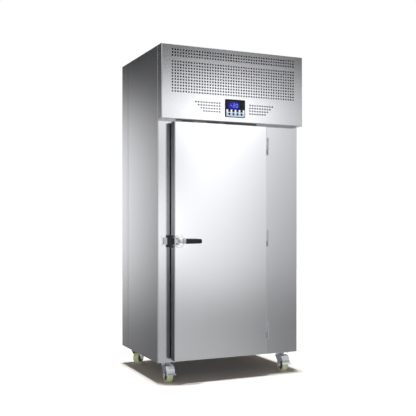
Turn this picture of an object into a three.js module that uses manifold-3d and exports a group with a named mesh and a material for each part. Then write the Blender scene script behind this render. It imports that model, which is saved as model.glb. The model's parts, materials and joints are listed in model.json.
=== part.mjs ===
// Upright blast chiller on casters: an insulated cabinet with one overlay door, a machine compartment
// behind a perforated hood on top, and an evaporator beside the tray racks.
// Millimetres, +Z up. The front faces -Y, +X is on the right, and the floor is at Z = 0.

import * as THREE from 'three';
import { mergeVertices } from 'three/addons/utils/BufferGeometryUtils.js';
import Module from 'manifold-3d';

const wasm = await Module();
wasm.setup();

// ---------------------------------------------------------------- driving dimensions

// Cabinet
const WIDTH = 955;
const BODY_DEPTH = 688;            // frame plane to the rear sheet
const BODY_HEIGHT = 1880;          // underside of the floor pan to the top
const HEAD_HEIGHT = 438;           // machine compartment, hood height
const HOOD_REACH = 65.5;           // hood front ahead of the frame plane
const REAR_WRAP = 127;             // how far the rear sheet comes round onto the sides
const SHEET = 1.5;                 // stainless sheet
const BEND = 4;                    // outer radius of a fold
const SEAM = 0.6;                  // open joint between two visible sheets
const SEAT = 0.3;                  // clearance where one piece sits on another
const RUNNING_GAP = 0.5;           // pin or shaft to its bore
const WALL = 68;                   // insulated wall, sheet to liner
const FRONT_WALL = 48;             // insulated front, beside the door opening
const HOOD_LAND = 22;              // front return of the side sheets behind the hood
const LID_FLANGE = 18;

// Door
const DOOR_MARGIN = { left: 80.5, right: 260.5 };  // cabinet's edges to the door
const DOOR_GAP_BOTTOM = 15;
const DOOR_GAP_TOP = 14.5;
const DOOR_FRONT = 72;             // door face ahead of the frame plane
const GASKET_DEPTH = 14;           // door back to the frame plane
const GASKET_WIDTH = 26;
const GASKET_INSET = 4;            // door's edge to the gasket
const LAP_SIDE = 34;               // how far the door laps the opening
const LAP_END = 47;
const PLUG_DEPTH = 10;             // liner's raised centre, into the opening
const PLUG_CLEARANCE = 9;

// Lift-off hinges
const HINGE_SHARES = { top: 0.906, middle: 0.5, bottom: 0.094 };  // of the door's height
const PIN_OUT = 14;                // door's edge to the pin's axis
const PIN_SETBACK = 12;            // door's face to the pin's axis
const KNUCKLE_RADIUS = 6.5;
const PIN_RADIUS = 4;
const KNUCKLE_UPPER = 64;          // on the door
const KNUCKLE_LOWER = 34;          // on the frame
const KNUCKLE_WASHER = 6;
const LEAF_THICKNESS = 3;
const DOOR_LEAF_DEPTH = 38;
const FRAME_LEAF_WIDTH = 33;

// Latch, at the door's half height
const LATCH_SET = 28;              // door's edge to the middle of the latch base
const LATCH_PLATE = { width: 46, height: 75, depth: 5, corner: 14 };
const LATCH_BOSS = { width: 36, height: 44, depth: 32 };
const LATCH_SLOT = 21.2;           // height of the slot for hub and bolt
const LATCH_PIN_RADIUS = 4;
const LATCH_PIN_OUT = 24;          // door's face to the lever's pin
const LEVER_HUB_RADIUS = 9;
const LEVER_NECK = 29;             // pin to the grip
const GRIP_LENGTH = 102;
const GRIP_HEIGHT = 30;
const GRIP_DEPTH = 18;
const BOLT_LENGTH = 34;
const BOLT_DEPTH = 7.8;
const BOLT_PROUD = 8.5;            // bolt's nose past the door's edge
const KEEPER_HEIGHT = 71;
const KEEPER_FOOT_HEIGHT = 41;
const KEEPER_GAP = 5;              // keeper to the door's edge

// Casters
const CASTER_HEIGHT = 120;
const CASTER_INSET = { left: 73, right: 95 };  // cabinet's sides to the swivel axes
const CASTER_FRONT = 52;           // frame plane to the front swivel axis
const CASTER_REAR = 75;            // rear sheet to the rear swivel axis
const CASTER_PLATE = { width: 95, depth: 80, thickness: 3, corner: 8 };
const CUP_RADIUS = 27;
const CUP_HEIGHT = 9;
const CROWN_HEIGHT = 6;
const KING_PIN_RADIUS = 6;
const WHEEL_DIAMETER = 80;
const WHEEL_WIDTH = 38;
const WHEEL_SIDES = 16;
const TRAIL = 32;                  // swivel axis to the axle
const AXLE_RADIUS = 5;
const FORK_WALL = 3;
const FORK_CLEARANCE = 2;          // wheel's side to the fork
const PEDAL_WALL = 2;
const PEDAL_PIVOT_RADIUS = 3.5;
const PEDAL_LIP_WIDTH = 62;

// Perforated hood. The real pattern has twice as many holes each way, at half the size.
const HOLE_RADIUS = 8;
const HOLE_PITCH = 35;
const HOLE_COLUMNS = 24;
const HOLE_BANDS = [{ below: 32, rows: 2 }, { below: 102, rows: 6 }];   // from the hood's top
const WING = { below: 337, inner: 112, columns: 5, rows: 2 };

// Controller
const BEZEL = { width: 132, height: 108, depth: 6, below: 301, corner: 5 };
const CONTROLLER_BODY = { width: 116, height: 88, depth: 42 };
const DISPLAY = { width: 75, height: 47, left: 18, below: 13, thickness: 1.5 };
const KEY_RADIUS = 7;
const KEY_PITCH = 27.4;
const KEY_COUNT = 4;
const KEY_BELOW = 89;              // bezel's top to the keys
const KEY_PROUD = 1.6;
const KEY_LENGTH = 6;
const KEY_TRAVEL = 1;

// Machine compartment, from the deck up
const COIL = { width: 460, height: 330, depth: 50, left: 70, back: 60, lift: 24, fins: 20 };
const SHROUD_DEPTH = 46;
const CONDENSER_FAN_RADIUS = 145;
const FAN_TIP_GAP = 7;
const COMPRESSOR = { radius: 92, height: 215, right: 207.5, y: 360 };
const RECEIVER = { radius: 42, height: 210, right: 357.5, back: 168 };
const PIPE_RADIUS = 6;
const ELECTRICAL_BOX = { width: 230, depth: 90, height: 150, right: 40, back: 24 };
const GLAND = { right: 147.5, lift: 60, thread: 10, flange: 16, reach: 18 };
const LOUVRE = { width: 240, height: 12, pitch: 34, rows: 7, columns: 2, gap: 90, lift: 90 };

// Evaporator, fans and tray racks
const COVER_FLANGE = 30;
const COVER_AIR_GAP = 28;          // open slot in front of and behind the cover
const FAN_RADIUS = 135;
const FAN_SHARES = { upper: 0.75, lower: 0.25 };   // of the chamber's height
const FAN_DEPTH = 34;
const FAN_BLADES = 5;
const SHAFT_RADIUS = 5;
const MOTOR_RADIUS = 38;
const MOTOR_LENGTH = 50;
const EVAPORATOR = { depth: 66, width: 430, bottom: 40, top: 60, fins: 18 };
const RACK_POST = 30;
const RACK_POST_DEPTH = 22;
const RUNNER_LEVELS = 10;
const RUNNER_FIRST = 92;           // chamber floor to the lowest runner
const RUNNER_LAST = 164.5;         // highest runner to the chamber's ceiling
const RUNNER_LEDGE = 20;
const RUNNER_LEG = 14;
const RUNNER_FRONT = 22;           // front wall's inside to the runner
const RUNNER_REAR = 22;

// ---------------------------------------------------------------- places worked out from them

const LEFT = -WIDTH / 2;
const RIGHT = WIDTH / 2;
const FLOOR = CASTER_HEIGHT;
const TOP = CASTER_HEIGHT + BODY_HEIGHT;
const DECK = TOP - HEAD_HEIGHT;
const SEAM_Y = BODY_DEPTH - REAR_WRAP;
const HOOD_FACE = -HOOD_REACH;

const door = {
  x0: LEFT + DOOR_MARGIN.left,
  x1: RIGHT - DOOR_MARGIN.right,
  z0: FLOOR + DOOR_GAP_BOTTOM,
  z1: DECK - DOOR_GAP_TOP,
  face: -DOOR_FRONT,
  back: -GASKET_DEPTH,
};
door.height = door.z1 - door.z0;
door.middle = (door.z0 + door.z1) / 2;

const opening = {
  x0: door.x0 + LAP_SIDE,
  x1: door.x1 - LAP_SIDE,
  z0: door.z0 + LAP_END,
  z1: door.z1 - LAP_END,
};

const chamber = {
  x0: LEFT + WALL,
  x1: RIGHT - WALL,
  y0: FRONT_WALL,
  y1: BODY_DEPTH - WALL,
  z0: opening.z0,
  z1: opening.z1,
};

const COVER_X = opening.x1 + RACK_POST + SEAT;
const runnerPitch = (chamber.z1 - chamber.z0 - RUNNER_FIRST - RUNNER_LAST) / (RUNNER_LEVELS - 1);

// ---------------------------------------------------------------- solids

// A closed three.js geometry as a solid: doubles merged, collapsed triangles dropped, faces outwards.
function solid(geometry) {
  const bare = geometry.clone();
  for (const name of Object.keys(bare.attributes)) {
    if (name !== 'position') bare.deleteAttribute(name);
  }
  const merged = mergeVertices(bare, 1e-3);
  const points = merged.attributes.position.array;
  const index = merged.index.array;
  const triangles = [];
  let volume = 0;
  const corner = [new THREE.Vector3(), new THREE.Vector3(), new THREE.Vector3()];
  for (let i = 0; i < index.length; i += 3) {
    const [a, b, c] = [index[i], index[i + 1], index[i + 2]];
    if (a === b || b === c || c === a) continue;
    triangles.push(a, b, c);
    [a, b, c].forEach((v, k) => corner[k].fromArray(points, 3 * v));
    volume += corner[0].dot(corner[1].cross(corner[2]));
  }
  if (volume < 0) {
    for (let i = 0; i < triangles.length; i += 3) {
      [triangles[i], triangles[i + 1]] = [triangles[i + 1], triangles[i]];
    }
  }
  return new wasm.Manifold(new wasm.Mesh({
    numProp: 3,
    vertProperties: new Float32Array(points),
    triVerts: new Uint32Array(triangles),
  }));
}

function join(...solids) {
  return solids.flat().reduce((sum, next) => sum.add(next));
}

function cut(body, ...tools) {
  return tools.flat().reduce((rest, tool) => rest.subtract(tool), body);
}

function block([x0, x1], [y0, y1], [z0, z1]) {
  const box = new THREE.BoxGeometry(x1 - x0, y1 - y0, z1 - z0);
  box.translate((x0 + x1) / 2, (y0 + y1) / 2, (z0 + z1) / 2);
  return solid(box);
}

// An outline swept along one axis. It is drawn in (y, z) for x, (x, z) for y and (x, y) for z.
const SWEEPS = {
  x: [[0, 1, 0], [0, 0, 1], [1, 0, 0]],
  y: [[1, 0, 0], [0, 0, 1], [0, -1, 0]],
  z: [[1, 0, 0], [0, 1, 0], [0, 0, 1]],
};

function prism(points, along, from, to) {
  const shape = new THREE.Shape(points.map(([u, v]) => new THREE.Vector2(u, v)));
  const geometry = new THREE.ExtrudeGeometry(shape, { depth: to - from, bevelEnabled: false });
  const basis = SWEEPS[along].map((axis) => new THREE.Vector3(...axis));
  geometry.applyMatrix4(new THREE.Matrix4().makeBasis(...basis));
  const start = along === 'y' ? to : from;
  geometry.translate(along === 'x' ? start : 0, along === 'y' ? start : 0, along === 'z' ? start : 0);
  return solid(geometry);
}

// A polygonal rod along one axis through the point (x, y, z), from and to measured on that axis.
function rod(along, centre, radius, from, to, sides = 16, flatDown = false) {
  const geometry = new THREE.CylinderGeometry(radius, radius, to - from, sides);
  if (flatDown) geometry.rotateY(Math.PI / sides);
  if (along === 'z') geometry.rotateX(Math.PI / 2);
  if (along === 'x') geometry.rotateZ(-Math.PI / 2);
  const middle = (from + to) / 2;
  const place = { x: centre[0], y: centre[1], z: centre[2] };
  place[along] = middle;
  geometry.translate(place.x, place.y, place.z);
  return solid(geometry);
}

// A profile of [radius, height] points turned round an axis through the centre.
function turned(profile, along, centre, sides = 20, phase = 0) {
  const points = profile.map(([r, h]) => new THREE.Vector2(r, h));
  const geometry = new THREE.LatheGeometry(points, sides, phase);
  if (along === 'z') geometry.rotateX(Math.PI / 2);
  if (along === 'x') geometry.rotateZ(-Math.PI / 2);
  geometry.translate(...centre);
  return solid(geometry);
}

// Rings of equally many points, skinned and capped.
function loft(rings) {
  const count = rings[0].length;
  const position = rings.flat().flatMap((point) => [...point]);
  const index = [];
  for (let r = 0; r + 1 < rings.length; r += 1) {
    for (let k = 0; k < count; k += 1) {
      const next = (k + 1) % count;
      const [a, b] = [r * count + k, r * count + next];
      index.push(a, b, b + count, a, b + count, a + count);
    }
  }
  const last = (rings.length - 1) * count;
  for (let k = 1; k + 1 < count; k += 1) {
    index.push(0, k + 1, k);
    index.push(last, last + k, last + k + 1);
  }
  const geometry = new THREE.BufferGeometry();
  geometry.setAttribute('position', new THREE.Float32BufferAttribute(position, 3));
  geometry.setIndex(index);
  return solid(geometry);
}

// ---------------------------------------------------------------- sheet metal

const BEND_STEPS = 3;

// A polyline whose inner corners are rounded; radii[i] belongs to corner i.
function filleted(points, radii) {
  const result = [];
  points.forEach((point, i) => {
    const radius = radii[i];
    if (!radius || i === 0 || i === points.length - 1) {
      result.push(point);
      return;
    }
    const here = new THREE.Vector2(...point);
    const before = here.clone().sub(new THREE.Vector2(...points[i - 1])).normalize();
    const after = new THREE.Vector2(...points[i + 1]).sub(here).normalize();
    const turn = Math.atan2(before.cross(after), before.dot(after));
    const start = here.clone().addScaledVector(before, -radius * Math.tan(Math.abs(turn) / 2));
    const side = new THREE.Vector2(-before.y, before.x).multiplyScalar(Math.sign(turn));
    const centre = start.clone().addScaledVector(side, radius);
    for (let k = 0; k <= BEND_STEPS; k += 1) {
      const swung = start.clone().rotateAround(centre, (turn * k) / BEND_STEPS);
      result.push([swung.x, swung.y]);
    }
  });
  return result;
}

// The section of a folded sheet. The path is its outer face, and the sheet lies to its left.
function folded(path, thickness = SHEET, bend = BEND) {
  const points = path.map((point) => new THREE.Vector2(...point));
  const headings = points.slice(1).map((point, i) => point.clone().sub(points[i]).normalize());
  const inner = points.map((point, i) => {
    const a = headings[Math.max(i - 1, 0)];
    const b = headings[Math.min(i, headings.length - 1)];
    const normal = new THREE.Vector2(-a.y - b.y, a.x + b.x);
    const scale = thickness / (1 + a.dot(b));
    return [point.x + normal.x * scale, point.y + normal.y * scale];
  });
  const turnsLeft = points.map((point, i) => {
    const a = headings[Math.max(i - 1, 0)];
    const b = headings[Math.min(i, headings.length - 1)];
    return a.cross(b) > 0;
  });
  const tight = bend - thickness;
  const outerFace = filleted(path, turnsLeft.map((left) => (left ? bend : tight)));
  const innerFace = filleted(inner, turnsLeft.map((left) => (left ? tight : bend)));
  return [...outerFace, ...innerFace.reverse()];
}

// A block whose edges on the given side are rounded the way folded sheet is. Its back is square.
function softBlock([x0, x1], [y0, y1], [z0, z1], radius) {
  const plan = filleted([[x0, y1], [x0, y0], [x1, y0], [x1, y1]], [0, radius, radius, 0]);
  const side = filleted([[y1, z0], [y0, z0], [y0, z1], [y1, z1]], [0, radius, radius, 0]);
  return prism(plan, 'z', z0, z1).intersect(prism(side, 'x', x0, x1));
}

// A tray of sheet, its bottom facing -Y and its mouth at y1.
function pan([x0, x1], [y0, y1], [z0, z1]) {
  const outer = softBlock([x0, x1], [y0, y1], [z0, z1], BEND);
  const inner = softBlock(
    [x0 + SHEET, x1 - SHEET], [y0 + SHEET, y1 + 1], [z0 + SHEET, z1 - SHEET], BEND - SHEET);
  return cut(outer, inner);
}

function roundedPlate(width, height, corner) {
  const [w, h] = [width / 2, height / 2];
  const loop = [[0, -h], [w, -h], [w, h], [-w, h], [-w, -h], [0, -h]];
  return filleted(loop, [0, corner, corner, corner, corner, 0]).slice(0, -1);
}

function shifted(points, du, dv) {
  return points.map(([u, v]) => [u + du, v + dv]);
}

// ---------------------------------------------------------------- materials and the model

const surface = (color, metalness, roughness) =>
  new THREE.MeshStandardMaterial({ color, metalness, roughness });

const MATERIALS = {
  brushed: surface(0xc9cbce, 0.9, 0.35),
  inner: surface(0xbfc2c4, 0.85, 0.4),
  galvanised: surface(0xaeb2b4, 0.8, 0.5),
  zinc: surface(0xb9bcc0, 0.9, 0.3),
  chrome: surface(0xd8dadd, 1, 0.15),
  foam: surface(0xe7d9a8, 0, 0.9),
  gasket: surface(0x2a2b2d, 0, 0.7),
  black: surface(0x1c1d1f, 0, 0.5),
  keeper: surface(0x26272a, 0.1, 0.5),
  display: surface(0x1a2378, 0, 0.15),
  key: surface(0x3b4046, 0, 0.5),
  tread: surface(0x949c7b, 0, 0.75),
  copper: surface(0xb8734a, 0.9, 0.35),
  fins: surface(0x9da3a6, 0.8, 0.45),
  enamel: surface(0x17181a, 0.2, 0.45),
};

const chiller = new THREE.Group();

function add(name, body, material, parent = chiller) {
  const mesh = body.getMesh();
  const geometry = new THREE.BufferGeometry();
  geometry.setAttribute('position', new THREE.BufferAttribute(mesh.vertProperties, 3));
  geometry.setIndex(new THREE.BufferAttribute(mesh.triVerts, 1));
  geometry.computeVertexNormals();
  const piece = new THREE.Mesh(geometry, MATERIALS[material]);
  piece.name = name;
  parent.add(piece);
}

// ---------------------------------------------------------------- cabinet

const INSIDE_X = [LEFT + SHEET + SEAT, RIGHT - SHEET - SEAT];
const INSIDE_REAR = BODY_DEPTH - SHEET - SEAT;
const JAMB_END = SHEET + SEAT;     // the jambs and flanges stop this far from the opening

// Side and front jamb are one folded sheet. Behind the hood only a narrow return is left of the jamb.
function sidePanels() {
  const leftPath = [[LEFT, SEAM_Y - SEAM], [LEFT, 0], [opening.x0 - JAMB_END, 0]];
  const rightPath = [[opening.x1 + JAMB_END, 0], [RIGHT, 0], [RIGHT, SEAM_Y - SEAM]];
  const notch = [[-1, BEND + 1], [DECK, TOP + 1]];
  const left = cut(prism(folded(leftPath), 'z', FLOOR, TOP),
    block([LEFT + HOOD_LAND, opening.x0], ...notch));
  const right = cut(prism(folded(rightPath), 'z', FLOOR, TOP),
    block([opening.x1, RIGHT - HOOD_LAND], ...notch));
  add('side_panel_left', left, 'brushed');
  add('side_panel_right', right, 'brushed');
}

// The rear sheet wraps onto both sides. Its louvres let the condenser's warm air out.
function rearPanel() {
  const path = [[RIGHT, SEAM_Y], [RIGHT, BODY_DEPTH], [LEFT, BODY_DEPTH], [LEFT, SEAM_Y]];
  const louvres = [];
  for (let column = 0; column < LOUVRE.columns; column += 1) {
    const middle = (column - (LOUVRE.columns - 1) / 2) * (LOUVRE.width + LOUVRE.gap);
    for (let row = 0; row < LOUVRE.rows; row += 1) {
      const z = DECK + LOUVRE.lift + row * LOUVRE.pitch;
      louvres.push(block([middle - LOUVRE.width / 2, middle + LOUVRE.width / 2],
        [BODY_DEPTH - SHEET - 1, BODY_DEPTH + 1], [z, z + LOUVRE.height]));
    }
  }
  const glandHole = rod('y', [RIGHT - GLAND.right, 0, DECK + GLAND.lift], GLAND.thread + SEAT,
    BODY_DEPTH - SHEET - 1, BODY_DEPTH + 1, 12);
  add('rear_panel', cut(prism(folded(path), 'z', FLOOR, TOP), louvres, glandHole), 'brushed');
}

// What fits between the folded side and rear sheets, from the given front plane to the rear.
function insideSheets(front, from, to) {
  const [x0, x1] = INSIDE_X;
  const plan = filleted([[0, INSIDE_REAR], [x0, INSIDE_REAR], [x0, front], [x1, front],
    [x1, INSIDE_REAR], [0, INSIDE_REAR]], [0, BEND, BEND, BEND, BEND, 0]).slice(0, -1);
  return prism(plan, 'z', from, to);
}

// Floor pan and deck turn up and down at the front, into the sill and the header of the door frame.
function floorAndDeck() {
  const flangeX = [opening.x0 - JAMB_END, opening.x1 + JAMB_END];
  const besideFlange = (z) => [
    block([LEFT, flangeX[0]], [-1, JAMB_END + BEND], z),
    block([flangeX[1], RIGHT], [-1, JAMB_END + BEND], z),
  ];
  const floorPath = [[INSIDE_REAR, FLOOR], [0, FLOOR], [0, opening.z0 - JAMB_END]];
  const deckPath = [[0, opening.z1 + JAMB_END], [0, DECK], [INSIDE_REAR, DECK]];
  const floorPan = prism(folded(floorPath.reverse()), 'x', ...INSIDE_X);
  const deck = prism(folded(deckPath.reverse()), 'x', ...INSIDE_X);
  const trimmed = (sheet, z) => cut(sheet.intersect(insideSheets(-2 * BEND, ...z)), besideFlange(z));
  add('floor_pan', trimmed(floorPan, [FLOOR - 1, opening.z0]), 'brushed');
  add('deck', trimmed(deck, [opening.z1, DECK + 1]), 'galvanised');
}

function lid() {
  const path = [[INSIDE_X[1], TOP - LID_FLANGE], [INSIDE_X[1], TOP], [INSIDE_X[0], TOP],
    [INSIDE_X[0], TOP - LID_FLANGE]];
  const sheet = prism(folded(path), 'y', 0, BODY_DEPTH);
  add('head_top_cover', sheet.intersect(insideSheets(JAMB_END, DECK, TOP)), 'brushed');
}

// The liner is a box with a collar that reaches the frame plane round the door opening.
function linerShape(grow, front) {
  return join(
    block([chamber.x0 - grow, chamber.x1 + grow], [chamber.y0 - grow, chamber.y1 + grow],
      [chamber.z0 - grow, chamber.z1 + grow]),
    block([opening.x0 - grow, opening.x1 + grow], [front, chamber.y0 + grow],
      [opening.z0 - grow, opening.z1 + grow]));
}

function linerAndFoam() {
  add('chamber_liner', cut(linerShape(SHEET, 0), linerShape(0, -1)), 'inner');
  const foamZ = [FLOOR + SHEET + SEAT, DECK - SHEET - SEAT];
  const side = filleted([[INSIDE_REAR, foamZ[0]], [JAMB_END, foamZ[0]], [JAMB_END, foamZ[1]],
    [INSIDE_REAR, foamZ[1]]], [0, BEND, BEND, 0]);
  const filling = insideSheets(JAMB_END, ...foamZ).intersect(prism(side, 'x', ...INSIDE_X));
  add('insulation_foam', cut(filling, linerShape(SHEET + SEAT, -1)), 'foam');
}

// ---------------------------------------------------------------- hood and controller

const bezelTop = TOP - BEZEL.below;
const bezelMiddle = bezelTop - BEZEL.height / 2;
const keyRow = bezelTop - KEY_BELOW;
const keyX = (i) => (i - (KEY_COUNT - 1) / 2) * KEY_PITCH;

function perforations() {
  const hole = (x, z) => rod('y', [x, 0, z], HOLE_RADIUS, HOOD_FACE - 1, HOOD_FACE + SHEET + 1, 4, true);
  const holes = [];
  for (const band of HOLE_BANDS) {
    for (let row = 0; row < band.rows; row += 1) {
      for (let column = 0; column < HOLE_COLUMNS; column += 1) {
        const x = (column - (HOLE_COLUMNS - 1) / 2) * HOLE_PITCH;
        holes.push(hole(x, TOP - band.below - row * HOLE_PITCH));
      }
    }
  }
  // The wings beside the controller lose a hole at the outer end with each row.
  for (const side of [-1, 1]) {
    for (let row = 0; row < WING.rows; row += 1) {
      for (let column = 0; column < WING.columns - row; column += 1) {
        const x = side * (WING.inner + column * HOLE_PITCH);
        holes.push(hole(x, TOP - WING.below - row * HOLE_PITCH));
      }
    }
  }
  return holes;
}

function hood() {
  const shell = pan([LEFT, RIGHT], [HOOD_FACE, -SEAM], [DECK, TOP]);
  const window = block(
    [-CONTROLLER_BODY.width / 2 - SEAT, CONTROLLER_BODY.width / 2 + SEAT],
    [HOOD_FACE - 1, HOOD_FACE + SHEET + 1],
    [bezelMiddle - CONTROLLER_BODY.height / 2 - SEAT, bezelMiddle + CONTROLLER_BODY.height / 2 + SEAT]);
  const holes = wasm.Manifold.union(perforations());
  add('hood', cut(shell, window, holes), 'brushed');
}

function controller() {
  const face = HOOD_FACE - SEAT - BEZEL.depth;
  const bezel = prism(shifted(roundedPlate(BEZEL.width, BEZEL.height, BEZEL.corner), 0, bezelMiddle),
    'y', face, HOOD_FACE - SEAT);
  const body = block([-CONTROLLER_BODY.width / 2, CONTROLLER_BODY.width / 2],
    [HOOD_FACE - SEAT - 1, HOOD_FACE + CONTROLLER_BODY.depth],
    [bezelMiddle - CONTROLLER_BODY.height / 2, bezelMiddle + CONTROLLER_BODY.height / 2]);
  const glassX = [-BEZEL.width / 2 + DISPLAY.left, -BEZEL.width / 2 + DISPLAY.left + DISPLAY.width];
  const glassZ = [bezelTop - DISPLAY.below - DISPLAY.height, bezelTop - DISPLAY.below];
  const glassBack = face + SEAT + DISPLAY.thickness;
  const recess = block([glassX[0] - SEAT, glassX[1] + SEAT], [face - 1, glassBack + SEAT],
    [glassZ[0] - SEAT, glassZ[1] + SEAT]);
  const holeEnd = face - KEY_PROUD + KEY_LENGTH + KEY_TRAVEL + SEAT;
  const keyHoles = [];
  for (let i = 0; i < KEY_COUNT; i += 1) {
    keyHoles.push(rod('y', [keyX(i), 0, keyRow], KEY_RADIUS + 2 * SEAT, face - 1, holeEnd, 12));
    const cap = rod('y', [keyX(i), 0, keyRow], KEY_RADIUS, face - KEY_PROUD,
      face - KEY_PROUD + KEY_LENGTH, 12);
    add(`key_${i + 1}`, cap, 'key');
  }
  add('controller_housing', cut(join(bezel, body), recess, keyHoles), 'black');
  add('display_window', block(glassX, [face + SEAT, glassBack], glassZ), 'display');
}

// ---------------------------------------------------------------- fans

// One blade: a cambered strip round the axis Z, wider and flatter at the tip than at the root.
function blade(root, tip, phase) {
  const thickness = 2.4;
  const stations = [[-1, 0], [0, 0], [1, 0], [1, 1], [0, 1], [-1, 1]];
  const rings = [0, 0.5, 1].map((share) => {
    const radius = THREE.MathUtils.lerp(root.radius, tip.radius, share);
    const chord = THREE.MathUtils.lerp(root.chord, tip.chord, share);
    const pitch = THREE.MathUtils.lerp(root.pitch, tip.pitch, share);
    return stations.map(([along, side]) => {
      const across = (along * chord) / 2;
      const lift = chord * 0.08 * (1 - along * along) + (side - 0.5) * thickness;
      const arc = across * Math.cos(pitch) - lift * Math.sin(pitch);
      const rise = across * Math.sin(pitch) + lift * Math.cos(pitch);
      const angle = phase + arc / radius;
      return [radius * Math.cos(angle), radius * Math.sin(angle), rise];
    });
  });
  return loft(rings);
}

// An axial fan round the axis Z, its hub from -depth / 2 to depth / 2, with a bore for the shaft.
function fan(radius, depth) {
  const hubRadius = radius * 0.3;
  const root = { radius: hubRadius - 5, chord: hubRadius, pitch: 0.6 };
  const tip = { radius, chord: radius * 0.55, pitch: 0.3 };
  const blades = [];
  for (let i = 0; i < FAN_BLADES; i += 1) blades.push(blade(root, tip, (i * 2 * Math.PI) / FAN_BLADES));
  const hub = rod('z', [0, 0, 0], hubRadius, -depth / 2, depth / 2, 16);
  const bore = rod('z', [0, 0, 0], SHAFT_RADIUS + RUNNING_GAP, -depth, depth, 8);
  return cut(join(hub, blades), bore);
}

// ---------------------------------------------------------------- machine compartment

const coilX = [LEFT + COIL.left, LEFT + COIL.left + COIL.width];
const coilY = [COIL.back, COIL.back + COIL.depth];
const coilZ = [DECK + COIL.lift, DECK + COIL.lift + COIL.height];
const condenserFan = {
  x: (coilX[0] + coilX[1]) / 2,
  z: (coilZ[0] + coilZ[1]) / 2,
  y: coilY[1] + SEAT + SHROUD_DEPTH / 2,
};

// A finned block: a comb on each face, drawn as an outline across the fins, a fin at either end.
function finOutline(from, to, near, far, fins) {
  const fin = (to - from) / (2 * fins - 1);
  const groove = 5;
  const front = [];
  const back = [];
  for (let i = 0; i < fins; i += 1) {
    const start = from + 2 * i * fin;
    front.push([start, near], [start + fin, near]);
    back.push([start, far], [start + fin, far]);
    if (i + 1 < fins) {
      front.push([start + fin, near + groove], [start + 2 * fin, near + groove]);
      back.push([start + fin, far - groove], [start + 2 * fin, far - groove]);
    }
  }
  return [...front, ...back.reverse()];
}

function condenser() {
  const core = prism(finOutline(...coilX, ...coilY, COIL.fins), 'z', ...coilZ);
  const endZ = [DECK + SEAT, coilZ[1]];
  const sheets = [
    block([coilX[0], coilX[0] + 2 * SHEET], coilY, endZ),
    block([coilX[1] - 2 * SHEET, coilX[1]], coilY, endZ),
  ];
  const port = rod('x', [0, coilY[0] + COIL.depth / 2, coilZ[1] - 40], PIPE_RADIUS,
    coilX[1] - 1, coilX[1] + 20, 8);
  add('condenser_coil', join(core, sheets, port), 'fins');
}

function condenserFanParts() {
  const { x, y, z } = condenserFan;
  const shroudY = [coilY[1] + SEAT, coilY[1] + SEAT + SHROUD_DEPTH];
  const outer = block(coilX, shroudY, coilZ);
  const inner = block([coilX[0] + SHEET, coilX[1] - SHEET], [shroudY[0] - 1, shroudY[1] - SHEET],
    [coilZ[0] + SHEET, coilZ[1] - SHEET]);
  const mouth = rod('y', [x, 0, z], CONDENSER_FAN_RADIUS + FAN_TIP_GAP,
    shroudY[1] - 2 * SHEET, shroudY[1] + 1, 24);
  const strap = block([x - CONDENSER_FAN_RADIUS - 14, x + CONDENSER_FAN_RADIUS + 14],
    [shroudY[1] - 0.5, shroudY[1] + LEAF_THICKNESS], [z - 14, z + 14]);
  const motor = turned([[0, 0], [MOTOR_RADIUS, 0], [MOTOR_RADIUS, MOTOR_LENGTH - 8],
    [MOTOR_RADIUS - 8, MOTOR_LENGTH], [0, MOTOR_LENGTH]], 'y', [x, shroudY[1] + 1, z], 16);
  const shaft = rod('y', [x, 0, z], SHAFT_RADIUS, y - FAN_DEPTH / 2, shroudY[1] + 1, 8);
  add('condenser_fan_shroud', join(cut(outer, inner, mouth), strap, motor, shaft), 'galvanised');
  const spinner = fan(CONDENSER_FAN_RADIUS, FAN_DEPTH).rotate([-90, 0, 0]);
  add('condenser_fan', spinner.translate([x, y, z]), 'black');
}

const compressorPort = {
  x: RIGHT - COMPRESSOR.right - COMPRESSOR.radius - 18,
  y: COMPRESSOR.y,
  z: DECK + COMPRESSOR.height * 0.62,
};

function compressor() {
  const { radius, height, right, y } = COMPRESSOR;
  const x = RIGHT - right;
  const base = DECK + SEAT;
  const foot = 6;
  const can = turned([[0, foot], [radius * 0.8, foot], [radius, foot + 26], [radius, height * 0.55],
    [radius * 0.97, height * 0.72], [radius * 0.72, height * 0.94], [radius * 0.3, height], [0, height]],
  'z', [x, y, base], 20);
  const feet = prism(shifted(roundedPlate(radius * 2.1, radius * 1.5, 20), x, y), 'z', base, base + foot + 2);
  const terminals = block([x - 30, x + 30], [y - radius - 22, y - radius + 12],
    [base + height * 0.3, base + height * 0.3 + 60]);
  const port = rod('x', [0, y, compressorPort.z], PIPE_RADIUS, compressorPort.x, x - radius + 8, 8);
  add('compressor', join(can, feet, terminals, port), 'enamel');
}

function receiver() {
  const { radius, height, right, back } = RECEIVER;
  const [x, y] = [RIGHT - right, BODY_DEPTH - back];
  const base = DECK + SEAT;
  const tank = turned([[0, 12], [radius * 0.7, 14], [radius, 34], [radius, height - 34],
    [radius * 0.7, height - 14], [0, height - 10]], 'z', [x, y, base], 16);
  const stand = prism(shifted(roundedPlate(radius * 2, radius * 1.3, 10), x, y), 'z', base, base + 16);
  const valve = rod('z', [x, y, 0], 9, base + height - 14, base + height + 16, 8);
  add('liquid_receiver', join(tank, stand, valve), 'enamel');
}

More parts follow.
